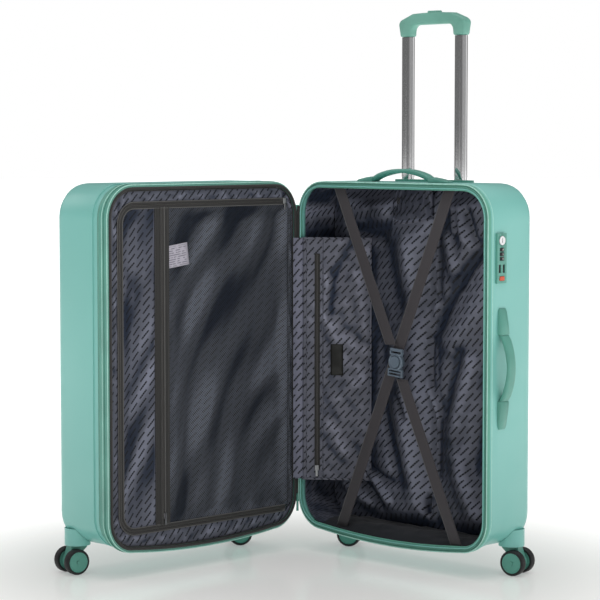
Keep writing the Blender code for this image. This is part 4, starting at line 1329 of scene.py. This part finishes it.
def hinge_strip(name, section, z0, z1, mat):
    """Cloth across the hinge line."""
    skin = Skin()
    rows = []
    cloth = []
    run = lengths([(x, y, 0) for x, y in section])
    count = 120
    for i in range(count + 1):
        z = z0 + (z1 - z0) * i / count
        wave = 0.0006 * fold(0.0, z, 40.0, 2.0)
        rows.append([Vector((HINGE.x + x + wave, HINGE.y + y - wave, z)) for x, y in section])
        cloth.append([(s, z) for s in run])
    skin.grid(rows, cloth)
    piece = skin.build(name, [mat], None, 0.0008, 0.0)
    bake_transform(piece)
    return piece


def rim_lines():
    """Ridges, beads and grooves round the two rims: bright ridges carry a painted highlight, the grooves are
    dark lines of painted shade.
    """
    for name, place, d, inset, r, mat, body, hinge_inset in (
            ("back_rim_ridge", back, 0.0002, 0.0012, 0.0011, rim_painted_highlight, "case", 0.0010),
            ("back_rim_groove", back, 0.0004, 0.0040, 0.0008, groove_painted_shade, "case", 0.0026),
            ("back_rim_bead", back, 0.0002, 0.0094, 0.0013, shell_green, "case", 0.0052),
            ("back_side_ridge", back, 0.0132, 0.0004, 0.0009, rim_painted_highlight, "case", 0.0004),
            ("front_rim_ridge", front, 0.0006, 0.0016, 0.0011, rim_painted_highlight, "lid", 0.0012),
            ("front_rim_groove", front, 0.0090, 0.0004, 0.0008, groove_painted_shade, "lid", None),
            ("front_band_ridge", front, 0.0140, 0.0004, 0.0010, rim_painted_highlight, "lid", None),
            ("front_shell_ridge", front, 0.0415, 0.0006, 0.0014, shell_green, "front_case", None)):
        away = Vector((0, -1, 0)) if place is back else Vector((1, 0, 0))
        line = case_line(d, inset, hinge_inset)
        sweep(name, ring_path(line, place, d), round_section(r), away, [mat], body)


def rim_zips():
    """Coils and piping on both rims, and the expansion zip behind the front band."""
    away_back = Vector((0, -1, 0))
    away_front = Vector((1, 0, 0))
    for name, inset, d, section, mat in (
            ("back_rim_coil", 0.0060, 0.0022, round_section(0.0016, 0.7), green_coil),
            ("back_rim_piping", 0.0119, 0.0022, round_section(0.0011), green_tape)):
        line = case_line(d, inset, min(inset, HINGE_TAPE_INSET - 0.001))
        sweep(name, ring_path(line, back, d), section, away_back, [mat], "case")
    for name, inset, d, section, mat in (
            ("front_rim_coil", 0.0052, 0.0012, round_section(0.0016, 0.7), green_coil),
            ("front_rim_piping", 0.0102, 0.0012, round_section(0.0010), green_tape)):
        line = case_line(0.0, inset, min(inset, HINGE_TAPE_INSET - 0.001))
        sweep(name, ring_path(line, front, d), section, away_front, [mat], "lid")
    line = case_line(0.0235, 0.0016)
    sweep("expansion_coil_band", ring_path(line, front, FRONT_BAND + 0.0014), round_section(0.0013),
          away_front, [green_coil], "lid")
    line = case_line(FRONT_RIM, 0.0030)
    sweep("expansion_coil_case", ring_path(line, front, FRONT_RIM - 0.0012), round_section(0.0013),
          away_front, [green_coil], "front_case")
    skin = Skin()
    rows = []
    cloth = []
    for i in range(9):
        d = FRONT_BAND - 0.002 + (FRONT_RIM - FRONT_BAND + 0.004) * i / 8
        line = case_line(d, 0.0050)
        run = lengths([(u, z, 0) for u, z in line] + [(*line[0], 0)])
        rows.append([front(u, d, z) for u, z in line])
        cloth.append([(s, d) for s in run])
    skin.grid(rows, cloth, wrap=True)
    gusset = skin.build("expansion_gusset", [dark_green_cloth], None, 0.0006)
    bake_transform(gusset)


# painted highlight for the ridges, painted shade for the grooves
rim_painted_highlight = trim_material("rim_painted_highlight", linear(176, 228, 214), 0.3)
groove_painted_shade = trim_material("groove_painted_shade", linear(74, 134, 119), 0.6)
dark_green_cloth = tape_material("gusset_cloth", linear(66, 118, 104))


# ---- small fittings -----------------------------------------------------------------------------
def lock_details():
    """Ring round the key, digits on the dials, dark floors in the puller slots."""
    low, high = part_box("lock_plate")
    face_x = high.x
    mid_y = (low.y + high.y) / 2
    key_low, key_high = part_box("key_cylinder")
    key_z = (key_low.z + key_high.z) / 2
    ring = [Vector((face_x + 0.0001, mid_y + 0.0102 * math.cos(a), key_z + 0.0102 * math.sin(a)))
            for a in [2 * math.pi * i / 40 for i in range(40)]]
    sweep("key_ring", ring, round_section(0.0009), Vector((1, 0, 0)), [trim_green], "case")
    place = Matrix.Identity(4)
    for k, y in enumerate((mid_y - 0.0058, mid_y + 0.0058)):
        block("puller_slot_floor_%d" % (k + 1), place, (face_x - 0.0028, face_x - 0.0021),
              (y - 0.0034, y + 0.0034), (0.5831, 0.5984), [black_plastic], "case", 0.0)
    for k in range(3):
        dial_low, dial_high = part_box("lock_dial_%d" % (k + 1))
        z = (dial_low.z + dial_high.z) / 2
        digits(k + 1, Vector((dial_high.x, mid_y, z)), str((k * 3) % 10))


def digits(index, spot, text):
    """One white moulded digit on the dial's front."""
    curve = bpy.data.curves.new("dial_digit_%d" % index, "FONT")
    curve.body = text
    curve.size = 0.0050
    curve.extrude = 0.00015
    curve.align_x = "CENTER"
    curve.align_y = "CENTER"
    obj = bpy.data.objects.new("dial_digit_%d" % index, curve)
    bpy.context.scene.collection.objects.link(obj)
    obj.rotation_euler = (math.radians(90), 0, math.radians(90))
    obj.location = spot + Vector((0.0001, 0, 0))
    bpy.context.view_layer.update()
    mesh = bpy.data.meshes.new_from_object(obj.evaluated_get(bpy.context.evaluated_depsgraph_get()))
    mesh.name = "dial_digit_%d_mesh" % index
    mesh.transform(obj.matrix_world)
    bpy.data.objects.remove(obj)
    mesh.materials.clear()
    mesh.materials.append(white_ink)
    obj = bpy.data.objects.new("dial_digit_%d" % index, mesh)
    bpy.context.scene.collection.objects.link(obj)
    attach(obj, "dial_%d" % index)


white_ink = Mat("white_ink", linear(225, 225, 220), 0.5).material


# ---- studio ---------------------------------------------------------------------------------------
CAMERA = (3.24293, -3.24124, 0.8432)      # from the hinge line, and above the floor
LOOK = (-0.70649, 0.70772)
PITCH = 4.184
FOCAL_MM = 136.6


def soft_room(tree):
    """White behind the case for the camera; for light, a soft bright front right and top."""
    def node(kind, inputs=(), **props):
        return add_node(tree, kind, inputs, **props)

    way = node("ShaderNodeTexCoord").outputs["Generated"]
    side = node("ShaderNodeVectorMath", {0: way, 1: (0.88, -0.30, 0.37)},
                operation="DOT_PRODUCT").outputs["Value"]
    high = node("ShaderNodeSeparateXYZ", {"Vector": way}).outputs["Z"]
    bright, top = (
        node("ShaderNodeMapRange", {"Value": value, "From Min": start, "From Max": stop,
                                    "To Min": low, "To Max": high_level},
             interpolation_type="SMOOTHSTEP").outputs["Result"]
        for value, start, stop, low, high_level in ((side, 0.10, 0.75, 0.0, ROOM_KEY),
                                                    (high, 0.45, 0.90, ROOM_BASE, ROOM_TOP)))
    level = node("ShaderNodeMath", {0: bright, 1: top}, operation="ADD").outputs[0]
    lit = tree.nodes["Background"]
    tree.links.new(level, lit.inputs["Strength"])
    lit.inputs["Color"].default_value = (1.0, 1.0, 1.0, 1)
    seen = node("ShaderNodeBackground", {"Color": (1.0, 1.0, 1.0, 1), "Strength": 1.0})
    which = node("ShaderNodeLightPath").outputs["Is Camera Ray"]
    both = node("ShaderNodeMixShader", {0: which, 1: lit.outputs[0], 2: seen.outputs[0]})
    tree.links.new(both.outputs[0], tree.nodes["World Output"].inputs["Surface"])


ROOM_KEY = 0.19
ROOM_BASE = 0.16
ROOM_TOP = 0.60


def studio():
    scene = bpy.context.scene
    scene.view_settings.view_transform = "Standard"
    scene.view_settings.look = "None"
    world = bpy.data.worlds.new("studio")
    scene.world = world
    world.use_nodes = True
    soft_room(world.node_tree)
    size = 30.0
    mesh = bpy.data.meshes.new("floor")
    corners = [(-size, -size, 0), (size, -size, 0), (size, size, 0), (-size, size, 0)]
    mesh.from_pydata(corners, [], [(0, 1, 2, 3)])
    floor = bpy.data.objects.new("floor", mesh)
    scene.collection.objects.link(floor)
    m = Mat("floor_gloss", linear(232, 231, 227), 0.14)
    place = m.node("ShaderNodeTexCoord").outputs["Object"]
    reach = m.node("ShaderNodeVectorMath", {0: place}, operation="LENGTH").outputs["Value"]
    # painted light: the floor glows, dimly near the case and fully white from 1.25 m out
    m.set("Emission Color", (1, 1, 1, 1))
    m.set("Emission Strength", m.ramp(reach, 0.35, 1.25, 0.27, 1.0))
    mesh.materials.append(m.material)
    for name, where, size, power in (("key", (2.2, -1.6, 2.8), 1.0, KEY_LIGHT),
                                     ("fill", (-3.4, -1.1, 2.4), 1.6, FILL_LIGHT),
                                     ("rim", (2.5, 2.5, 0.9), 2.2, RIM_LIGHT),
                                     ("top", (0.2, 0.1, 3.2), 2.4, TOP_LIGHT)):
        data = bpy.data.lights.new(name, "AREA")
        data.shape = "SQUARE"
        data.size = size
        data.energy = power
        lamp = bpy.data.objects.new(name, data)
        scene.collection.objects.link(lamp)
        lamp.location = where
        aim = Vector((0, 0, 0.45)) - Vector(where)
        lamp.rotation_euler = aim.to_track_quat("-Z", "Y").to_euler()
    data = bpy.data.cameras.new("camera")
    data.lens = FOCAL_MM
    data.sensor_width = 36.0
    camera = bpy.data.objects.new("camera", data)
    scene.collection.objects.link(camera)
    camera.location = (HINGE.x + CAMERA[0], HINGE.y + CAMERA[1], CAMERA[2])
    tilt = math.radians(PITCH)
    aim = Vector((LOOK[0] * math.cos(tilt), LOOK[1] * math.cos(tilt), -math.sin(tilt)))
    camera.rotation_euler = aim.to_track_quat("-Z", "Y").to_euler()
    scene.camera = camera


KEY_LIGHT = 9.0
FILL_LIGHT = 13.0
RIM_LIGHT = 8.0
TOP_LIGHT = 21.0

studio()
dress_all()
pull_grip()
back_lining()
trolley_pouch()
front_lining()
for strap_node, strap_turn in (("strap_a_upper", -1), ("strap_a_lower", -1), ("strap_b", 1)):
    strap(strap_node, strap_turn)
buckle()
flap()
border()
track()
divider()
spine()
rim_zips()
rim_lines()
lock_details()
